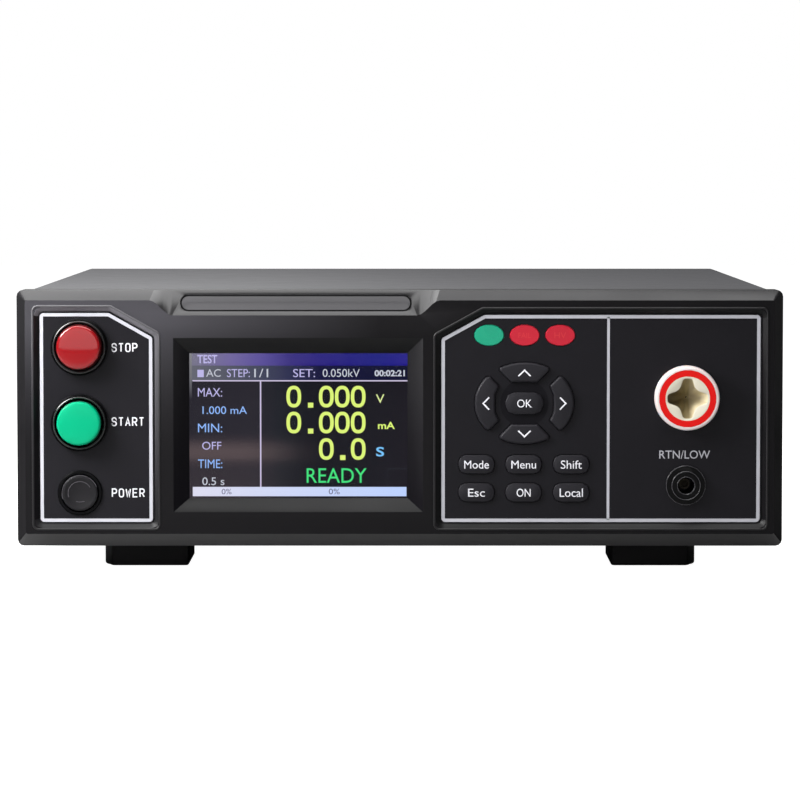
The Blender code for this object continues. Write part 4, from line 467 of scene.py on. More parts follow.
# Painted shade: a dark metal for the contacts deep in the sockets.
CONTACT = metal("shaded_contact", (40, 37, 32), 0.4)
ALUMINIUM = metal("aluminium_extrusion", (158, 160, 162), 0.4, (1.0, 8.0, 1.0), 0.2)
BOARD = moulded("board_mask", (18, 74, 44), 0.34, 0.12, spread=0.12)
TAPE = moulded("winding_tape", (196, 158, 60), 0.4, 0.2, spread=0.1)
FAN = moulded("fan_plastic", (24, 24, 26), 0.4, 0.12)
PANE = Finish("clear_pane", (1.0, 1.0, 1.0, 1.0), 0.03).set(Transmission_Weight=1.0, IOR=1.12)
PANE.sheen_drift(40.0, 0.015, 0.04)


def glowing(name, display):
    """A lit patch of the display's picture."""
    made = Finish(name, (0.0, 0.0, 0.0, 1.0), 0.4)
    return made.set(Emission_Color=linear(*display), Emission_Strength=1.0, Specular_IOR_Level=0.0)


# Pieces, and the bodies that they ride on
def show(piece, finish, body):
    """Gives a new piece its finish and the body that it rides on."""
    piece.data.materials.clear()
    piece.data.materials.append(finish.material)
    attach(piece, body)
    return piece


def stand_in(piece, finish, name):
    """A new piece takes a CAD node's place on its body, and the node is hidden."""
    source = nodes[name]
    show(piece, finish, source["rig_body"])
    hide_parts(name)
    return piece


def linked(name, data):
    piece = bpy.data.objects.new(name, data)
    bpy.context.scene.collection.objects.link(piece)
    return piece


def from_bmesh(name, bm, smooth=30.0):
    bmesh.ops.recalc_face_normals(bm, faces=bm.faces)
    mesh = bpy.data.meshes.new(name)
    bm.to_mesh(mesh)
    bm.free()
    mesh.shade_smooth()
    mesh.set_sharp_from_angle(angle=math.radians(smooth))
    return linked(name, mesh)


def welded(name):
    """A CAD node's mesh, with its doubled points joined and its flat faces merged."""
    bm = bmesh.new()
    bm.from_mesh(nodes[name].data)
    bmesh.ops.remove_doubles(bm, verts=bm.verts, dist=WELD)
    bmesh.ops.dissolve_limit(bm, angle_limit=FLATNESS, verts=bm.verts, edges=bm.edges)
    return bm


def refined(name, finish, width):
    """A finer copy of a CAD node: welded, with rounded edges and smooth round sides."""
    piece = from_bmesh(f"{name}_fine", welded(name), REFINED_ANGLE)
    if width:
        bevel = piece.modifiers.new("rounded_edges", "BEVEL")
        bevel.width = width
        bevel.segments = 2
        bevel.limit_method = "ANGLE"
        bevel.angle_limit = math.radians(REFINED_ANGLE)
        bevel.harden_normals = True
    return stand_in(piece, finish, name)


def tint(piece, finish, chosen):
    """Gives a second finish to the faces that the rule picks by their centre and normal."""
    piece.data.materials.append(finish.material)
    slot = len(piece.data.materials) - 1
    for face in piece.data.polygons:
        if chosen(face.center, face.normal):
            face.material_index = slot


def middle(node):
    low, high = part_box(node)
    return (low.x + high.x) / 2, (low.z + high.z) / 2


def off_axis(place, centre):
    return (Vector((place.x, place.z)) - Vector(centre)).length


# Outlines in X and Z, and the meshes that are built from them
def rectangle(x_range, z_range):
    """The corners of a rectangle, anticlockwise from the lower left."""
    (left, right), (bottom, top) = x_range, z_range
    return [(left, bottom), (right, bottom), (right, top), (left, top)]


def rounded(corners, steps=4):
    """An outline through (x, z) corners, each with its own fillet radius."""
    points = []
    count = len(corners)
    for index, (x, z, radius) in enumerate(corners):
        here = Vector((x, z))
        if radius <= 0.0:
            points.append(here)
            continue
        before = (Vector(corners[index - 1][:2]) - here).normalized()
        after = (Vector(corners[(index + 1) % count][:2]) - here).normalized()
        angle = before.angle(after)
        if angle > math.radians(179.0):
            points.append(here)
            continue
        reach = radius / math.tan(angle / 2)
        centre = here + (before + after).normalized() * (radius / math.sin(angle / 2))
        start, end = here + before * reach - centre, here + after * reach - centre
        sweep = start.angle_signed(end)
        for step in range(steps + 1):
            turn = Matrix.Rotation(-sweep * step / steps, 2)
            points.append(centre + turn @ start)
    return points


def soft_corners(corners, radius, steps=4):
    return rounded([(corner.x, corner.y, radius) for corner in corners], steps)


def grown(outline, by):
    """An anticlockwise outline moved outward by a distance."""
    moved = []
    count = len(outline)
    for index, point in enumerate(outline):
        before = (point - outline[index - 1]).normalized()
        after = (outline[(index + 1) % count] - point).normalized()
        bisector = Vector((before.y + after.y, -before.x - after.x)).normalized()
        square = Vector((before.y, -before.x))
        moved.append(point + bisector * (by / max(0.3, bisector.dot(square))))
    return moved


def radial(centre, reaches):
    """Points round a centre at even angles, each at its own reach."""
    points = []
    for index, reach in enumerate(reaches):
        angle = index * 2 * math.pi / len(reaches)
        points.append((centre[0] + reach * math.cos(angle), centre[1] + reach * math.sin(angle)))
    return points


def ring_at(bm, points, y):
    return [bm.verts.new((x, y, z)) for x, z in points]


def skin(bm, rings, closed=False):
    """Faces between neighbouring rings, each of which may be a single point."""
    following = rings[1:] + rings[:1] if closed else rings[1:]
    for low, high in zip(rings, following):
        count = max(len(low), len(high))
        for index in range(count):
            after = (index + 1) % count
            if len(low) == 1:
                bm.faces.new((low[0], high[index], high[after]))
            elif len(high) == 1:
                bm.faces.new((low[index], low[after], high[0]))
            else:
                bm.faces.new((low[index], low[after], high[after], high[index]))


def swept(name, outline, section, finish, body, smooth=30.0):
    """A section of (outward, y) rows carried round a closed outline."""
    bm = bmesh.new()
    skin(bm, [ring_at(bm, grown(outline, offset), y) for offset, y in section], True)
    return show(from_bmesh(name, bm, smooth), finish, body)


def frame_strip(name, outline, width, y, thickness, finish, body):
    """A printed line along a closed outline, width wide."""
    return swept(name, outline, rectangle((-width / 2, width / 2), (y, y + thickness)), finish, body)


def slab(name, x_range, y_range, z_range, finish, body):
    bm = bmesh.new()
    ends = [ring_at(bm, rectangle(x_range, z_range), y) for y in y_range]
    for end in ends:
        bm.faces.new(end)
    skin(bm, ends)
    return show(from_bmesh(name, bm), finish, body)


def turned(name, centre, profile, finish, body, steps=72, smooth=40.0):
    """A round piece about an axis along Y through centre, from (radius, y) rows."""
    bm = bmesh.new()
    rings = []
    for radius, y in profile:
        points = [centre] if radius <= 0.0 else radial(centre, [radius] * steps)
        rings.append(ring_at(bm, points, y))
    skin(bm, rings)
    return show(from_bmesh(name, bm, smooth), finish, body)


def lettering(name, text, centre, size, y, finish, body, bold=0.0, thickness=INK):
    """Flat letters fitted to a width and height, standing just off the plane y."""
    curve = bpy.data.curves.new(name, "FONT")
    curve.body = text
    curve.offset = bold
    curve.resolution_u = 5
    holder = linked(name + "_text", curve)
    bpy.context.view_layer.update()
    mesh = bpy.data.meshes.new_from_object(holder.evaluated_get(bpy.context.evaluated_depsgraph_get()))
    bpy.data.objects.remove(holder)
    low = [min(vertex.co[axis] for vertex in mesh.vertices) for axis in (0, 1)]
    high = [max(vertex.co[axis] for vertex in mesh.vertices) for axis in (0, 1)]
    scale = [side / (end - start) for side, start, end in zip(size, low, high)]
    halfway = [(start + end) / 2 for start, end in zip(low, high)]
    for vertex in mesh.vertices:
        across, up = [(vertex.co[axis] - halfway[axis]) * scale[axis] for axis in (0, 1)]
        vertex.co = Vector((centre[0] + across, y - thickness, centre[1] + up))
    mesh.name = name
    return show(linked(name, mesh), finish, body)


def ribbon(name, paths, width, y, finish, body):
    """Flat strokes of even width along open paths, standing just off the plane y."""
    bm = bmesh.new()
    for path in paths:
        sides = []
        for index, point in enumerate(path):
            ahead = path[min(index + 1, len(path) - 1)] - point
            behind = point - path[max(index - 1, 0)]
            ahead = ahead.normalized() if ahead.length else behind.normalized()
            behind = behind.normalized() if behind.length else ahead
            square = Vector((-behind.y, behind.x))
            across = Vector((-ahead.y - behind.y, ahead.x + behind.x)).normalized()
            reach = across * (width / 2 / max(0.5, across.dot(square)))
            sides.append(ring_at(bm, (point - reach, point + reach), y - INK))
        for first, second in zip(sides, sides[1:]):
            bm.faces.new((first[0], first[1], second[1], second[0]))
    return show(from_bmesh(name, bm), finish, body)


def stroke_word(name, text, centre, size, y, finish, body):
    """Narrow letters of one width, drawn with a pen."""
    pitch = size[0] / (len(text) - LETTER_GAP)
    wide, tall = pitch * (1 - LETTER_GAP) - PEN, size[1] - PEN
    bend = min(wide * 0.5, tall * 0.24)
    paths = []
    for place, mark in enumerate(text):
        left = centre[0] - size[0] / 2 + place * pitch + PEN / 2
        for row in LETTERS[mark]:
            corners = []
            for x, z, soft in row:
                corners.append((left + x * wide, centre[1] + (z - 0.5) * tall, bend if soft else 0.0))
            paths.append(rounded(corners))
    return ribbon(name, paths, PEN, y, finish, body)


# Camera and studio
def camera():
    data = bpy.data.cameras.new("photo_camera")
    data.sensor_width = SENSOR * 1000
    data.lens = FOCAL_PIXELS * SENSOR * 1000 / IMAGE_SIDE
    data.clip_start, data.clip_end = CAMERA_CLIP
    eye = linked("photo_camera", data)
    eye.location = CAMERA_PLACE
    eye.rotation_euler = (math.pi / 2 - CAMERA_PITCH, 0.0, CAMERA_YAW)
    bpy.context.scene.camera = eye


def area_light(name, place, target, size, power):
    data = bpy.data.lights.new(name, "AREA")
    data.shape = "RECTANGLE"
    data.size, data.size_y = size
    data.energy = power
    lamp = linked(name, data)
    lamp.location = place
    aim = Vector(target) - Vector(place)
    lamp.rotation_euler = aim.to_track_quat("-Z", "Y").to_euler()
    lamp.visible_camera = name != "front_card"


def seen_apart(tree, lit, seen, output):
    """The camera sees one shader where everything else is lit by the other."""
    path = shader_node(tree, "LightPath")
    mix = shader_node(tree, "MixShader", path.outputs["Is Camera Ray"], lit, seen)
    tree.links.new(mix.outputs["Shader"], tree.nodes[output].inputs["Surface"])


def studio():
    scene = bpy.context.scene
    scene.view_settings.view_transform = "Standard"
    scene.world = bpy.data.worlds.new("studio_white")
    scene.world.use_nodes = True
    tree = scene.world.node_tree
    direction = shader_node(tree, "SeparateXYZ", shader_node(tree, "TexCoord").outputs["Generated"])
    rise = shader_node(tree, "MapRange", direction.outputs["Z"], *ROOM_RISE)
    fall = shader_node(tree, "MapRange", direction.outputs["X"], *ROOM_FALL)
    strength = shader_node(tree, "Math", rise.outputs["Result"], fall.outputs["Result"])
    strength.operation = "MULTIPLY"
    room = shader_node(tree, "Background", WHITE_LIGHT, strength.outputs["Value"])
    seen = shader_node(tree, "Background", WHITE_LIGHT, 1.0)
    seen_apart(tree, room.outputs["Background"], seen.outputs["Background"], "World Output")
    for softbox in SOFTBOXES:
        area_light(*softbox)
    finish = Finish("studio_floor", (0.3, 0.3, 0.3, 1.0), 0.9).mottle(3.0, 0.01)
    shader = finish.shader.outputs["BSDF"]
    bright = finish.node("Emission", WHITE_LIGHT, 1.0)
    both = finish.node("AddShader", shader, bright.outputs["Emission"])
    seen_apart(finish.tree, shader, both.outputs["Shader"], "Material Output")
    bm = bmesh.new()
    bmesh.ops.create_grid(bm, x_segments=1, y_segments=1, size=FLOOR_SIZE)
    floor = from_bmesh("studio_floor", bm)
    floor.data.materials.append(finish.material)


# Printing on the control plates and keys
def plate_corners(node, cut, cut_on_right):
    """The corners of a plate's printed line, whose upper inner corner is cut off."""
    low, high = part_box(node)
    left, right = low.x + PLATE_MARGIN + PRINT_SHIFT, high.x - PLATE_MARGIN + PRINT_SHIFT
    bottom, top = low.z + PLATE_MARGIN, high.z - PLATE_MARGIN
    row = [(left, bottom), (right, bottom)]
    if cut_on_right:
        row += [(right, top - cut[1]), (right - cut[0], top), (left, top)]
    else:
        row += [(right, top), (left + cut[0], top), (left, top - cut[1])]
    return [Vector(corner) for corner in row]


def printing():
    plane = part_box("left_plate")[0].y
    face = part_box("front_bezel")[0].y
    section = [(across * BEAD_WIDTH, face - up * BEAD_HEIGHT) for across, up in BEAD_SECTION]
    for name, width, cut, cut_on_right in PLATE_LINES:
        corners = plate_corners(f"{name}_plate", cut, cut_on_right)
        line = soft_corners(corners, LINE_RADIUS)
        frame_strip(f"{name}_line", line, width, plane - INK, INK, WHITE_INK, "case")
        rim = soft_corners(grown(corners, BEAD_OFFSET), BEAD_RADIUS, 8)
        swept(f"{name}_bead", rim, section, BEAD, "case", 60.0)
    low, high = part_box("right_plate")
    divider = (DIVIDER_X - DIVIDER_WIDTH / 2, DIVIDER_X + DIVIDER_WIDTH / 2)
    rows = (low.z + PLATE_MARGIN, high.z - PLATE_MARGIN)
    slab("divider_line", divider, (plane - INK, plane), rows, WHITE_INK, "case")
    for text, centre, size in BUTTON_WORDS:
        stroke_word(f"word_{text.lower()}", text, centre, size, plane, WORD_INK, "case")
    lettering("word_return", *RETURN_WORD, plane, WHITE_INK, "case")
    # Painted shade: a darker disc round the OK key, among the keys.
    shade_disc = [(0.0, plane - INK), (KEYPAD_SHADE_RADIUS, plane - INK), (KEYPAD_SHADE_RADIUS, plane)]
    turned("keypad_shade", middle("key_ok"), shade_disc, KEYPAD_SHADE, "case")
    # Painted shade: a dark line along the name strip's edge, for the shadow in the seam round it.
    low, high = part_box("name_strip")
    half = (high.z - low.z) / 2
    corners = [(x, z, half) for x, z in rectangle((low.x, high.x), (low.z, high.z))]
    edge = grown(rounded(corners, 10), -STRIP_LINE / 2)
    frame_strip("strip_groove_shade", edge, STRIP_LINE, low.y - INK, INK, GROOVE_SHADE, "case")


def key_printing():
    for node, (text, width, height) in KEY_WORDS.items():
        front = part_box(node)[0].y
        lettering(f"{node}_word", text, middle(node), (width, height), front, KEY_INK, node)
    half, rise, stroke = CHEVRON_WIDTH / 2, CHEVRON_HEIGHT / 2, CHEVRON_STROKE
    shape = [(-half, -rise), (-half + stroke * 0.7, -rise - stroke * 0.7), (0.0, rise - stroke * 1.4)]
    shape += [(half - stroke * 0.7, -rise - stroke * 0.7), (half, -rise), (0.0, rise)]
    for node, angle in ARROWS.items():
        x, z = middle(node)
        place = Vector((x + ARROW_SHIFT.get(node, 0.0), z))
        spin = Matrix.Rotation(math.radians(angle), 2)
        points = [place + spin @ Vector(point) for point in shape]
        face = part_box(node)[0].y
        bm = bmesh.new()
        ends = [ring_at(bm, points, y) for y in (face - INK, face)]
        for row in ends:
            bm.faces.new((row[0], row[1], row[2], row[5]))
            bm.faces.new((row[2], row[3], row[4], row[5]))
        skin(bm, ends)
        show(from_bmesh(f"{node}_chevron", bm), KEY_INK, node)


# The display's picture: colour stops, lit colours, patches and words on its grid
GROUND_STOPS = (
    (0.0, (42, 40, 48)), (0.3, (43, 41, 49)), (0.42, (33, 35, 42)), (0.55, (27, 27, 34)), (1.0, (30, 28, 35)),
)
# Painted reflection in the pane: a soft brown glow low on the left, by height and across
PANE_REFLECTION_Z = (0.0537, 0.0804)
PANE_REFLECTION_RISE = evenly(118, 110, 160, 245, 255, 215, 120, 40, 0)
PANE_REFLECTION_SIDE = evenly(255, 255, 250, 215, 120, 0, 0, 0, 0)
PANE_REFLECTION_GLOW = (0.071, 0.049, 0.046, 1.0)
TITLE_STOPS = (
    (0.0, (120, 118, 136)), (0.19, (112, 101, 158)), (0.33, (90, 79, 152)), (0.46, (57, 47, 127)),
    (0.6, (40, 31, 126)), (0.87, (26, 28, 127)), (1.0, (34, 27, 136)),
)
HEADER_STOPS = (
    (0.0, (104, 105, 116)), (0.25, (78, 81, 97)), (0.45, (50, 52, 82)), (0.6, (27, 27, 62)),
    (1.0, (20, 22, 46)),
)
GRADIENTS = (
    ("title", "X", SCREEN_X, TITLE_STOPS),
    ("header", "X", SCREEN_X, HEADER_STOPS),
    ("bar", "X", SCREEN_X, ((0.0, (222, 222, 240)), (1.0, (188, 210, 255)))),
    ("glare", "Z", (0.096, 0.122), ((0.0, (44, 42, 50)), (0.45, (112, 112, 118)), (1.0, (134, 134, 138)))),
)
GLOWS = {
    "rule": (206, 196, 226),
    "box": (44, 46, 54),
    "lime": (222, 244, 122),
    "pale_lime": (224, 238, 160),
    "blue": (122, 196, 250),
    "green": (70, 226, 128),
    "lilac": (190, 184, 232),
    "soft_blue": (146, 186, 250),
    "grey": (198, 202, 214),
    "dark_ink": (96, 96, 132),
}
PATCHES = (
    ("back", (-BLEED, -BLEED, GRID[0] + BLEED, GRID[1] + BLEED), 0, "ground"),
    ("title_bar", (0.0, 0.6, GRID[0], 12.8), 1, "title"),
    ("header", (0.0, 12.8, GRID[0], 27.6), 1, "header"),
    ("glare", (0.0, 0.6, 2.4, 46.0), 2, "glare"),
    ("progress_bar", (3.0, 134.6, GRID[0] - 1.0, 144.0), 1, "bar"),
    ("header_rule", (3.0, 27.4, GRID[0], 28.6), 2, "rule"),
    ("column_rule", (70.6, 28.6, 72.0, 134.6), 2, "rule"),
    ("box_top", (197.8, 116.0, GRID[0], 116.8), 2, "box"),
    ("box_side", (197.8, 116.0, 198.6, 134.0), 2, "box"),
    ("flag", (8.0, 17.0, 14.4, 24.4), 2, "lilac"),
)
WORDS = (
    ("title", "TEST", (8.0, 2.0, 28.0, 10.6), "lilac", 0.02),
    ("mode", "AC", (16.8, 16.4, 31.4, 24.0), "grey", 0.0),
    ("step_label", "STEP:", (37.6, 16.2, 60.6, 24.4), "lilac", 0.0),
    ("step", "1/1", (65.0, 16.0, 79.0, 24.6), "grey", 0.0),
    ("set_label", "SET:", (104.0, 16.2, 126.0, 24.4), "lilac", 0.0),
    ("set", "0.050kV", (133.6, 16.2, 170.8, 24.2), "grey", 0.0),
    ("clock", "00:02:21", (185.6, 17.2, 216.0, 23.6), "grey", 0.03),
    ("high_label", "MAX:", (8.4, 35.2, 32.8, 44.0), "lilac", 0.0),
    ("high", "1.000 mA", (13.0, 53.6, 57.6, 61.4), "soft_blue", 0.0),
    ("low_label", "MIN:", (8.4, 71.0, 32.8, 79.8), "soft_blue", 0.0),
    ("low", "OFF", (12.6, 89.2, 31.8, 97.2), "lilac", 0.0),
    ("time_label", "TIME:", (8.4, 107.0, 32.8, 115.8), "soft_blue", 0.0),
    ("time", "0.5 s", (12.6, 125.0, 34.8, 132.8), "grey", 0.0),
    ("volt", "V", (187.0, 41.6, 195.4, 50.4), "pale_lime", 0.0),
    ("milliamp", "mA", (189.0, 69.2, 206.0, 76.4), "lime", 0.02),
    ("second", "S", (187.2, 94.4, 195.2, 104.0), "blue", 0.02),
    ("ready", "READY", (117.4, 115.8, 177.6, 130.4), "green", 0.0),
    ("share_left", "0%", (32.0, 136.6, 42.0, 142.0), "dark_ink", 0.0),
    ("share_right", "0%", (139.6, 136.4, 150.6, 142.0), "dark_ink", 0.0),
)

# Large readout: its columns and rows, the point's own column in the last row, and its noughts
COLUMNS = ((97.2, 112.0), (118.8, 124.2), (129.8, 144.6), (145.8, 160.6), (161.8, 176.6))
READOUT = ((33.0, "0.000"), (59.0, "0.000"), (85.6, "  0.0"))
LAST_POINT = (151.0, 156.4)
DIGIT_HEIGHT = 21.8
POINT_SPAN = (17.0, 22.0)
DIGIT_STEPS = 40
DIGIT_STROKE = 0.235
DIGIT_POWER = 2.5


def grid_box(box):
    """A (left, top, right, bottom) box of the picture's grid, as ranges of x and z."""
    across, up = SCREEN_X[1] - SCREEN_X[0], SCREEN_Z[1] - SCREEN_Z[0]
    left, right = [SCREEN_X[0] + across * u / GRID[0] for u in (box[0], box[2])]
    top, bottom = [SCREEN_Z[1] - up * v / GRID[1] for v in (box[1], box[3])]
    return (left, right), (bottom, top)


def picture_plane(layer):
    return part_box("display_window")[1].y + PANE_GAP - layer * LAYER


def patch(name, box, layer, finish):
    """A rectangle of the picture, from (left, top, right, bottom) on its grid."""
    x_range, z_range = grid_box(box)
    front = picture_plane(layer)
    return slab(name, x_range, (front, front + LAYER), z_range, finish, "case")


def picture_word(name, text, box, finish, bold):
    (left, right), (bottom, top) = grid_box(box)
    centre, size = ((left + right) / 2, (bottom + top) / 2), (right - left, top - bottom)
    return lettering(name, text, centre, size, picture_plane(3), finish, "case", bold, LAYER)


def digit(name, box, finish):
    """A nought of the readout, drawn as a tall ring of even stroke."""
    (left, right), (bottom, top) = grid_box(box)
    centre = Vector(((left + right) / 2, (bottom + top) / 2))
    half = Vector(((right - left) / 2, (top - bottom) / 2))
    stroke = (right - left) * DIGIT_STROKE
    outline = []
    for x, z in radial((0.0, 0.0), [1.0] * DIGIT_STEPS):
        across, up = abs(x / (half.x - stroke / 2)), abs(z / (half.y - stroke / 2))
        reach = (across ** DIGIT_POWER + up ** DIGIT_POWER) ** (-1 / DIGIT_POWER)
        outline.append(centre + Vector((x, z)) * reach)
    return frame_strip(name, outline, stroke, picture_plane(3) - LAYER, LAYER, finish, "case")


def night_ground():
    """The picture's dark ground, a little lighter on the left, with a painted reflection in the pane: a soft
    brown glow low on the left.
    """
    made = glowing("picture_ground", (0, 0, 0))
    night = made.display_ramp(made.along("X", *SCREEN_X), GROUND_STOPS)
    level = made.display_ramp(made.along("Z", *PANE_REFLECTION_Z), PANE_REFLECTION_RISE)
    side = made.display_ramp(made.along("X", *SCREEN_X), PANE_REFLECTION_SIDE)
    share = made.reckon("MULTIPLY", level, side)
    pane_reflection = made.ramp(share, [(0.0, (0.0, 0.0, 0.0, 1.0)), (1.0, PANE_REFLECTION_GLOW)])
    both = made.node("VectorMath", night, pane_reflection)
    both.operation = "ADD"
    return made.feed("Emission Color", both.outputs["Vector"])


def display_picture():
    glows = {name: glowing(f"picture_{name}", display) for name, display in GLOWS.items()}
    glows["ground"] = night_ground()
    for name, axis, ends, stops in GRADIENTS:
        glow = glowing(f"picture_{name}", (0, 0, 0))
        glows[name] = glow.shaded(axis, *ends, stops, "Emission Color")
    for name, box, layer, glow in PATCHES:
        patch(f"picture_{name}", box, layer, glows[glow])
    for name, text, box, glow, bold in WORDS:
        picture_word(f"picture_{name}", text, box, glows[glow], bold)
    for row, (top, shown) in enumerate(READOUT):
        for place, mark in enumerate(shown):
            left, right = LAST_POINT if (row, place) == (2, 3) else COLUMNS[place]
            if mark == "0":
                digit(f"picture_digit_{row}_{place}", (left, top, right, top + DIGIT_HEIGHT), glows["lime"])
            elif mark == ".":
                dot = (left, top + POINT_SPAN[0], right, top + POINT_SPAN[1])
                patch(f"picture_point_{row}", dot, 3, glows["lime"])


# CAD nodes that get a finer mesh, by finish and edge rounding, and those that keep their own
FINE_NODES = (
    (BEZEL, 0.00045, ("front_bezel",)),
    (STRIP, 0.00012, ("name_strip",)),
    (PLATE, 0.0001, ("left_plate", "right_plate")),
    (RING, 0.0003, ("stop_switch", "start_switch", "power_switch")),
    (PUSH_BLACK, 0.0004, ("power_button",)),
    (LAMP_GREEN, 0.0, ("lamp_pass",)),
    (LAMP_RED, 0.0, ("lamp_fail", "lamp_high_voltage")),
    (RED_RING, 0.0001, ("hv_ring",)),
    (GLOSS_BLACK, 0.0003, ("return_socket",)),
    (PAINT, 0.0004, ("top_cover",)),
    (ZINC, 0.0003, ("chassis_tray",)),
    (PAINT, 0.0002, ("rear_panel",)),
    (FAN, 0.0005, ("fan_frame",)),
    (FAN, 0.0003, ("fan_rotor",)),
    (NICKEL, 0.0004, ("fan_guard",)),
    (BLACK, 0.0004, ("mains_inlet",)),
    (BLACK, 0.0003, ("fuse_drawer",)),
    (BRASS, 0.0002, ("earth_stud",)),
    (BLACK, 0.0003, ("earth_knob",)),
    (NICKEL, 0.0002, ("serial_port", "control_port")),
    (FOOT, 0.0008, ("foot_front_left", "foot_front_right", "foot_rear_left", "foot_rear_right")),
    (FOOT, 0.0006, ("tilt_leg_left", "tilt_leg_right")),
)
KEPT_NODES = (
    (PANE, ("display_window",)),
    (ALUMINIUM, ("display_module", "heat_sink")),
    (BOARD, ("display_board", "key_board", "main_board")),
    (ZINC, ("sub_plate",)),
    (NICKEL, ("stop_nut", "start_nut", "hv_nut", "return_nut")),
    (CONTACT, ("hv_contact", "return_contact")),
    (STEEL_DARK, ("transformer_core",)),
    (TAPE, ("transformer_winding",)),
)


# Rules that pick the faces of a region by their centre and normal
def within(node, centre, margin):
    low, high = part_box(node)
    across = low.x - margin < centre.x < high.x + margin
    return across and low.z - margin < centre.z < high.z + margin


def in_screen_recess(centre, normal):
    return abs(normal.y) < WALL_SLANT and within("display_window", centre, RECESS_REACH)


def in_pocket(centre, normal):
    plates = [within(node, centre, POCKET_REACH) for node in ("left_plate", "right_plate")]
    return abs(normal.y) < WALL_SLANT and any(plates)


def in_recess(centre, normal):
    """Whether a face is a wall of the screen's recess or of a plate's pocket."""
    return in_pocket(centre, normal) or in_screen_recess(centre, normal)


def on_chamfer(centre, normal):
    """Whether a face is the slope above the plates, on either side of the band."""
    sloping = normal.z > 0.25 and normal.y < -0.2 and centre.z > CHAMFER_FROM
    return sloping and not BAND_X[0] < centre.x < BAND_X[1]


def on_lower_slope(centre, normal):
    return normal.z < -0.25 and normal.y < -0.2 and centre.z < LOWER_TO


# Lit and shaded copies of the bezel plastic, one per region: painted light and shade in colour and sheen
BEZEL_REGIONS = (
    (FACE, lambda centre, normal: normal.y < -0.99),
    (RECESS, in_recess),
    (POCKET, lambda centre, normal: centre.x < LEFT_POCKET_TO and in_recess(centre, normal)),
    (RECESS_SIDE, lambda centre, normal: abs(normal.x) > 0.5 and in_screen_recess(centre, normal)),
    (CHAMFER, on_chamfer),
    (LOWER, on_lower_slope),
    (SIDE, lambda centre, normal: abs(normal.x) > 0.6 and abs(centre.x) > SIDE_FROM),
)


def on_tongue(node):
    """The rule that finds the insulating tongue inside a port's shell."""
    low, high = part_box(node)
    middle_x, middle_z = middle(node)
    half = (high.x - low.x) / 2 - PORT_SHELL_INSET

    def chosen(centre, normal):
        inside = abs(centre.x - middle_x) < half * TONGUE_SHARE and abs(centre.z - middle_z) < TONGUE_HALF
        return inside and centre.y > high.y - TONGUE_DEPTH

    return chosen


# Finer pieces
def cushioned(name, finish):
    """A key whose front is crowned like a pillow."""
    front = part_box(name)[0].y
    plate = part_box("right_plate")[0].y
    bm = welded(name)
    if name not in ARROWS:
        top = [face for face in bm.faces if all(vertex.co.y < front + 0.00002 for vertex in face.verts)]
        for vertex in {vertex for face in top for vertex in face.verts}:
            vertex.co.y += KEY_PILLOW
        for inset, share in KEY_INSETS:
            depth = share * KEY_PILLOW
            bmesh.ops.inset_region(bm, faces=top, thickness=inset, depth=depth, use_even_offset=True)
    edges = []
    for edge in bm.edges:
        proud = all(vertex.co.y < plate - 0.0001 for vertex in edge.verts)
        if proud and len(edge.link_faces) == 2 and edge.calc_face_angle() > math.radians(25.0):
            edges.append(edge)
    bmesh.ops.bevel(
        bm, geom=edges, offset=KEY_ROUNDING, segments=3, profile=0.5, affect="EDGES", clamp_overlap=True
    )
    return stand_in(from_bmesh(f"{name}_fine", bm, 60.0), finish, name)


def finer_nodes():
    for finish, width, names in FINE_NODES:
        for name in names:
            piece = refined(name, finish, width)
            if name == "front_bezel":
                for second, rule in BEZEL_REGIONS:
                    tint(piece, second, rule)
            if name in ("control_port", "serial_port"):
                tint(piece, BLACK, on_tongue(name))
    for name in nodes:
        if name.startswith("key_") and name != "key_board":
            cushioned(name, KEY)
    for finish, names in KEPT_NODES:
        for name in names:
            for slot in nodes[name].material_slots:
                slot.material = finish.material


def push_caps():
    """The two lit push caps, each with a stepped side in a darker copy of its colour as painted shade, and
    the pale rim inside its ring.
    """
    for name, finish, side in (("stop", RED, RED_SIDE_SHADE), ("start", GREEN, GREEN_SIDE_SHADE)):
        button = f"{name}_button"
        low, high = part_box(button)
        centre, edge = middle(button), low.y + CAP_SIDE[0]
        profile = [(radius, low.y + depth) for radius, depth in CAP_ROWS]
        profile += [(CAP_BASE, high.y - CAP_GAP), (0.0, high.y - CAP_GAP)]
        piece = turned(f"{button}_fine", centre, profile, finish, button)
        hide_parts(button)

        def on_side(place, normal, centre=centre, edge=edge):
            return place.y > edge or off_axis(place, centre) > CAP_SIDE[1]

        # Painted shade: the cap's side takes the darker copy of its colour.
        tint(piece, side, on_side)
        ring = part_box(f"{name}_switch")[0].y
        rim = [(radius, ring + depth) for radius, depth in RIM_ROWS]
        turned(f"{name}_rim", middle(f"{name}_switch"), rim, RIM, "case")


def star_outline():
    """The high-voltage mouth's four-armed outline about its own centre."""
    reach, tip, root = STAR_REACH, STAR_TIP, STAR_ROOT
    quarter = [(reach, -tip, STAR_TIP_RADIUS), (reach, tip, STAR_TIP_RADIUS), (root, root, STAR_ROOT_RADIUS)]
    corners = []
    for turn in range(4):
        cosine, sine = round(math.cos(turn * math.pi / 2)), round(math.sin(turn * math.pi / 2))
        corners += [(x * cosine - z * sine, x * sine + z * cosine, radius) for x, z, radius in quarter]
    return rounded(corners, 6)


def reach_at(outline, angle):
    """How far a closed outline about the origin lies from it at an angle."""
    heading = Vector((math.cos(angle), math.sin(angle)))
    for index, end in enumerate(outline):
        start = outline[index - 1]
        step = end - start
        cross = heading.x * step.y - heading.y * step.x
        if abs(cross) < 1e-12:
            continue
        share = (start.x * heading.y - start.y * heading.x) / cross
        distance = (start.x * step.y - start.y * step.x) / cross
        if -1e-6 <= share <= 1 + 1e-6 and distance > 0.0:
            return distance
    raise ValueError("the outline doesn't go round the origin")


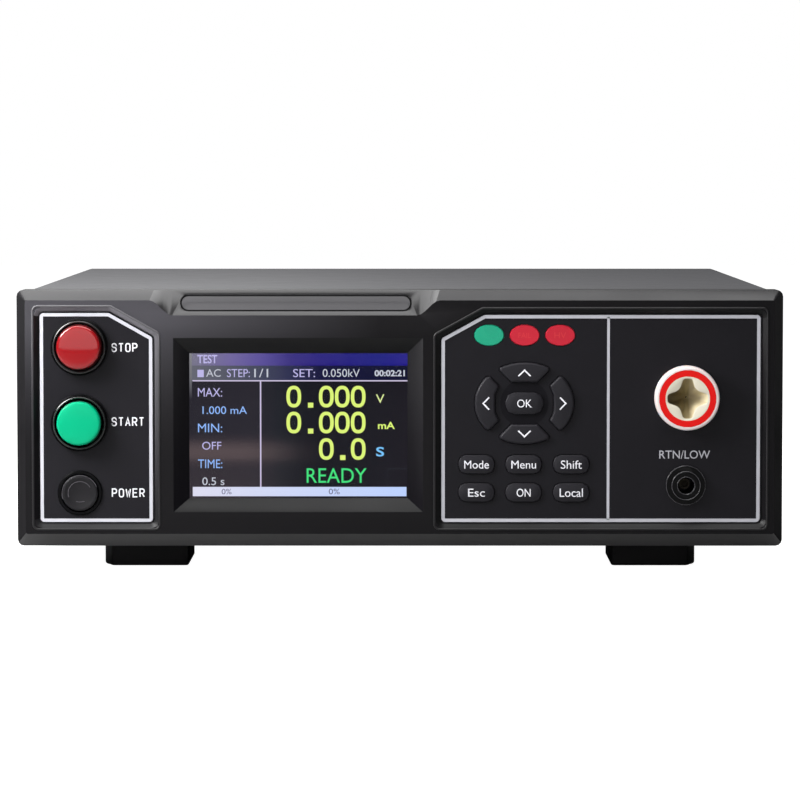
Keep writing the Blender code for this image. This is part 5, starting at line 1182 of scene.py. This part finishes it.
def hv_socket():
    """The high-voltage socket: its collar, and the star mouth that draws in to a round bore."""
    centre = middle("hv_socket")
    low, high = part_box("hv_socket")
    front = low.y
    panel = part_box("right_plate")[0].y
    collar = (high.x - low.x) / 2
    star = star_outline()
    reaches = [reach_at(star, index * 2 * math.pi / SOCKET_STEPS) for index in range(SOCKET_STEPS)]
    seat = panel + COLLAR_SEAT
    circles = [(SLEEVE, high.y), (SLEEVE, seat), (collar, seat), (collar, panel)]
    circles += [(collar - inset, front + depth) for inset, depth in COLLAR_ROWS]
    circles += [(RING_OUTER, front), (RING_OUTER, front + RING_SEAT)]
    circles += [(RING_INNER, front + RING_SEAT), (RING_INNER, front)]
    rows = [([radius] * SOCKET_STEPS, y) for radius, y in circles]
    rows += [([reach + outward for reach in reaches], front + depth) for outward, depth in STAR_LIP]
    for depth, share in FUNNEL:
        rows.append(([reach + (LINER_BORE - reach) * share for reach in reaches], front + depth))
    rows += [([LINER_HOLE] * SOCKET_STEPS, front + depth) for depth in LINER_ENDS]
    bm = bmesh.new()
    skin(bm, [ring_at(bm, radial(centre, row), y) for row, y in rows])
    piece = stand_in(from_bmesh("hv_socket_fine", bm, 44.0), WHITE, "hv_socket")

    def on_lobes(place, normal):
        return place.y < front + 0.0009 and off_axis(place, centre) < RING_INNER

    def in_mouth(place, normal):
        return place.y > front + 0.0004 and off_axis(place, centre) < STAR_REACH + 0.0003

    tint(piece, IVORY, on_lobes)
    # Painted light and shade: the mouth's colour runs from dark on the left to light on the right.
    tint(piece, MOUTH, in_mouth)


def return_rims():
    """Raised beads at the return socket's steps, in a lighter grey as a painted highlight."""
    centre = middle("return_socket")
    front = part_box("return_socket")[0].y
    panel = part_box("right_plate")[0].y
    steps = (("outer", 0.0109, panel - 0.0017), ("middle", 0.0079, front), ("inner", 0.0049, front + 0.0002))
    for name, radius, y in steps:
        rows = [(radius + outward, y + depth) for outward, depth in EDGE_ROWS]
        turned(f"return_rim_{name}", centre, rows, EDGE_HIGHLIGHT, "case")


def cap_marks():
    """The faint words inside the red lenses, and the painted highlights of the power cap: two arcs over its
    top and a short glint below its middle.
    """
    for name, text, size in LENS_WORDS:
        lettering(f"{name}_word", text, middle(name), size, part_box(name)[0].y, LENS_INK, "case")
    centre = Vector(middle("power_button"))
    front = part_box("power_button")[0].y
    for name, radius, start, end, width in POWER_HIGHLIGHT_ARCS:
        path = []
        for step in range(25):
            angle = math.radians(start + (end - start) * step / 24)
            path.append(centre + Vector((math.cos(angle), math.sin(angle))) * radius)
        ribbon(f"power_highlight_{name}", [path], width, front, POWER_HIGHLIGHT, "power_button")
    row = [centre + Vector(spot) for spot in POWER_GLINT]
    ribbon("power_glint", [row], POWER_GLINT_WIDTH, front, POWER_HIGHLIGHT, "power_button")


def screw(name, place, facing, radius, finish):
    """A pan-head screw with a cross recess, seated at a place and facing along an axis."""
    facing = Vector(facing)
    up = Vector((0.0, 0.0, 1.0)) if abs(facing.z) < 0.5 else Vector((0.0, 1.0, 0.0))
    side = up.cross(facing)
    turns = [index * 2 * math.pi / SCREW_STEPS for index in range(SCREW_STEPS)]
    cross = []
    for turn in turns:
        fold = (turn + math.pi / 4) % (math.pi / 2) - math.pi / 4
        cross.append(min(CROSS_REACH, CROSS_HALF / max(abs(math.sin(fold)), 0.01)))
    rows = [(share, height, [1.0] * SCREW_STEPS) for share, height in SCREW_HEAD]
    rows += [(share, height, cross) for share, height in SCREW_RECESS]
    bm = bmesh.new()
    rings = []
    for share, height, shape in rows:
        ring = []
        for turn, reach in zip(turns, shape):
            spot = Vector(place) + (side * math.cos(turn) + up * math.sin(turn)) * (share * radius * reach)
            ring.append(bm.verts.new(spot + facing * height * radius))
        rings.append(ring)
    skin(bm, rings)
    bm.faces.new(rings[-1])
    return show(from_bmesh(name, bm, 35.0), finish, "case")


def rear_details():
    """Screws of the panel, guard and inlet, the ports' posts and contacts, and the earth mark."""
    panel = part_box("rear_panel")[1].y
    for index, (x, z) in enumerate(PANEL_SCREWS):
        screw(f"panel_screw_{index}", (x, panel, z), TO_REAR, 0.003, STEEL_DARK)
    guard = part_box("fan_guard")[1].y
    x, z = middle("fan_frame")
    for index, (side, level) in enumerate(((-1, -1), (-1, 1), (1, -1), (1, 1))):
        place = (x + side * FAN_HOLES, guard, z + level * FAN_HOLES)
        screw(f"fan_screw_{index}", place, TO_REAR, 0.0032, STEEL_DARK)
    low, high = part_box("mains_inlet")
    for side, x in (("left", low.x + INLET_EAR), ("right", high.x - INLET_EAR)):
        screw(f"inlet_screw_{side}", (x, high.y, (low.z + high.z) / 2), TO_REAR, 0.0024, NICKEL)
    for node, spread, rows in PORTS:
        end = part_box(node)[1].y
        x, z = middle(node)
        post = [(radius, end - POST_SEAT + rise) for radius, rise in POST_ROWS]
        for side in (-1, 1):
            turned(f"{node}_post_{side + 1}", (x + side * spread, z), post, NICKEL, "case", 6, 20.0)
        hole = [(radius, end - HOLE_FACE + rise) for radius, rise in HOLE_ROWS]
        for row, count in enumerate(rows):
            for index in range(count):
                place = (x + (index - (count - 1) / 2) * HOLE_PITCH, z + HOLE_RISE - row * HOLE_ROW_GAP)
                turned(f"{node}_hole_{row}_{index}", place, hole, BRASS, "case", 10)
    x, z = middle("earth_knob")
    half, start, end = EARTH_STEM
    bars = [(x - half, x + half, z + start, z + end)]
    bars += [(x - half, x + half, z + level, z + level + EARTH_STROKE) for half, level in EARTH_BARS]
    for index, (left, right, bottom, top) in enumerate(bars):
        slab(f"earth_bar_{index}", (left, right), (panel, panel + INK), (bottom, top), LEGEND_INK, "case")


def side_details():
    """The cover's side screws, a dark sheet just inside each side's vents, and the screws under the tray."""
    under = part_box("chassis_tray")[0].z
    for index, (x, y) in enumerate(UNDER_SCREWS):
        screw(f"tray_screw_{index}", (x, y, under), (0.0, 0.0, -1.0), 0.0028, STEEL_DARK)
    low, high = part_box("top_cover")
    for name, face, way in (("left", low.x, -1), ("right", high.x, 1)):
        for index, y in enumerate(COVER_SCREWS_Y):
            screw(f"cover_screw_{name}_{index}", (face, y, COVER_SCREW_Z), (way, 0.0, 0.0), 0.003, STEEL_DARK)
        inner = face - way * VENT_GAP
        slab(f"vent_screen_{name}", sorted((inner, inner - way * VENT_SHEET)), VENT_Y, VENT_Z, FAN, "case")


camera()
studio()
finer_nodes()
push_caps()
hv_socket()
return_rims()
cap_marks()
rear_details()
side_details()
printing()
key_printing()
display_picture()

bpy.context.view_layer.update()
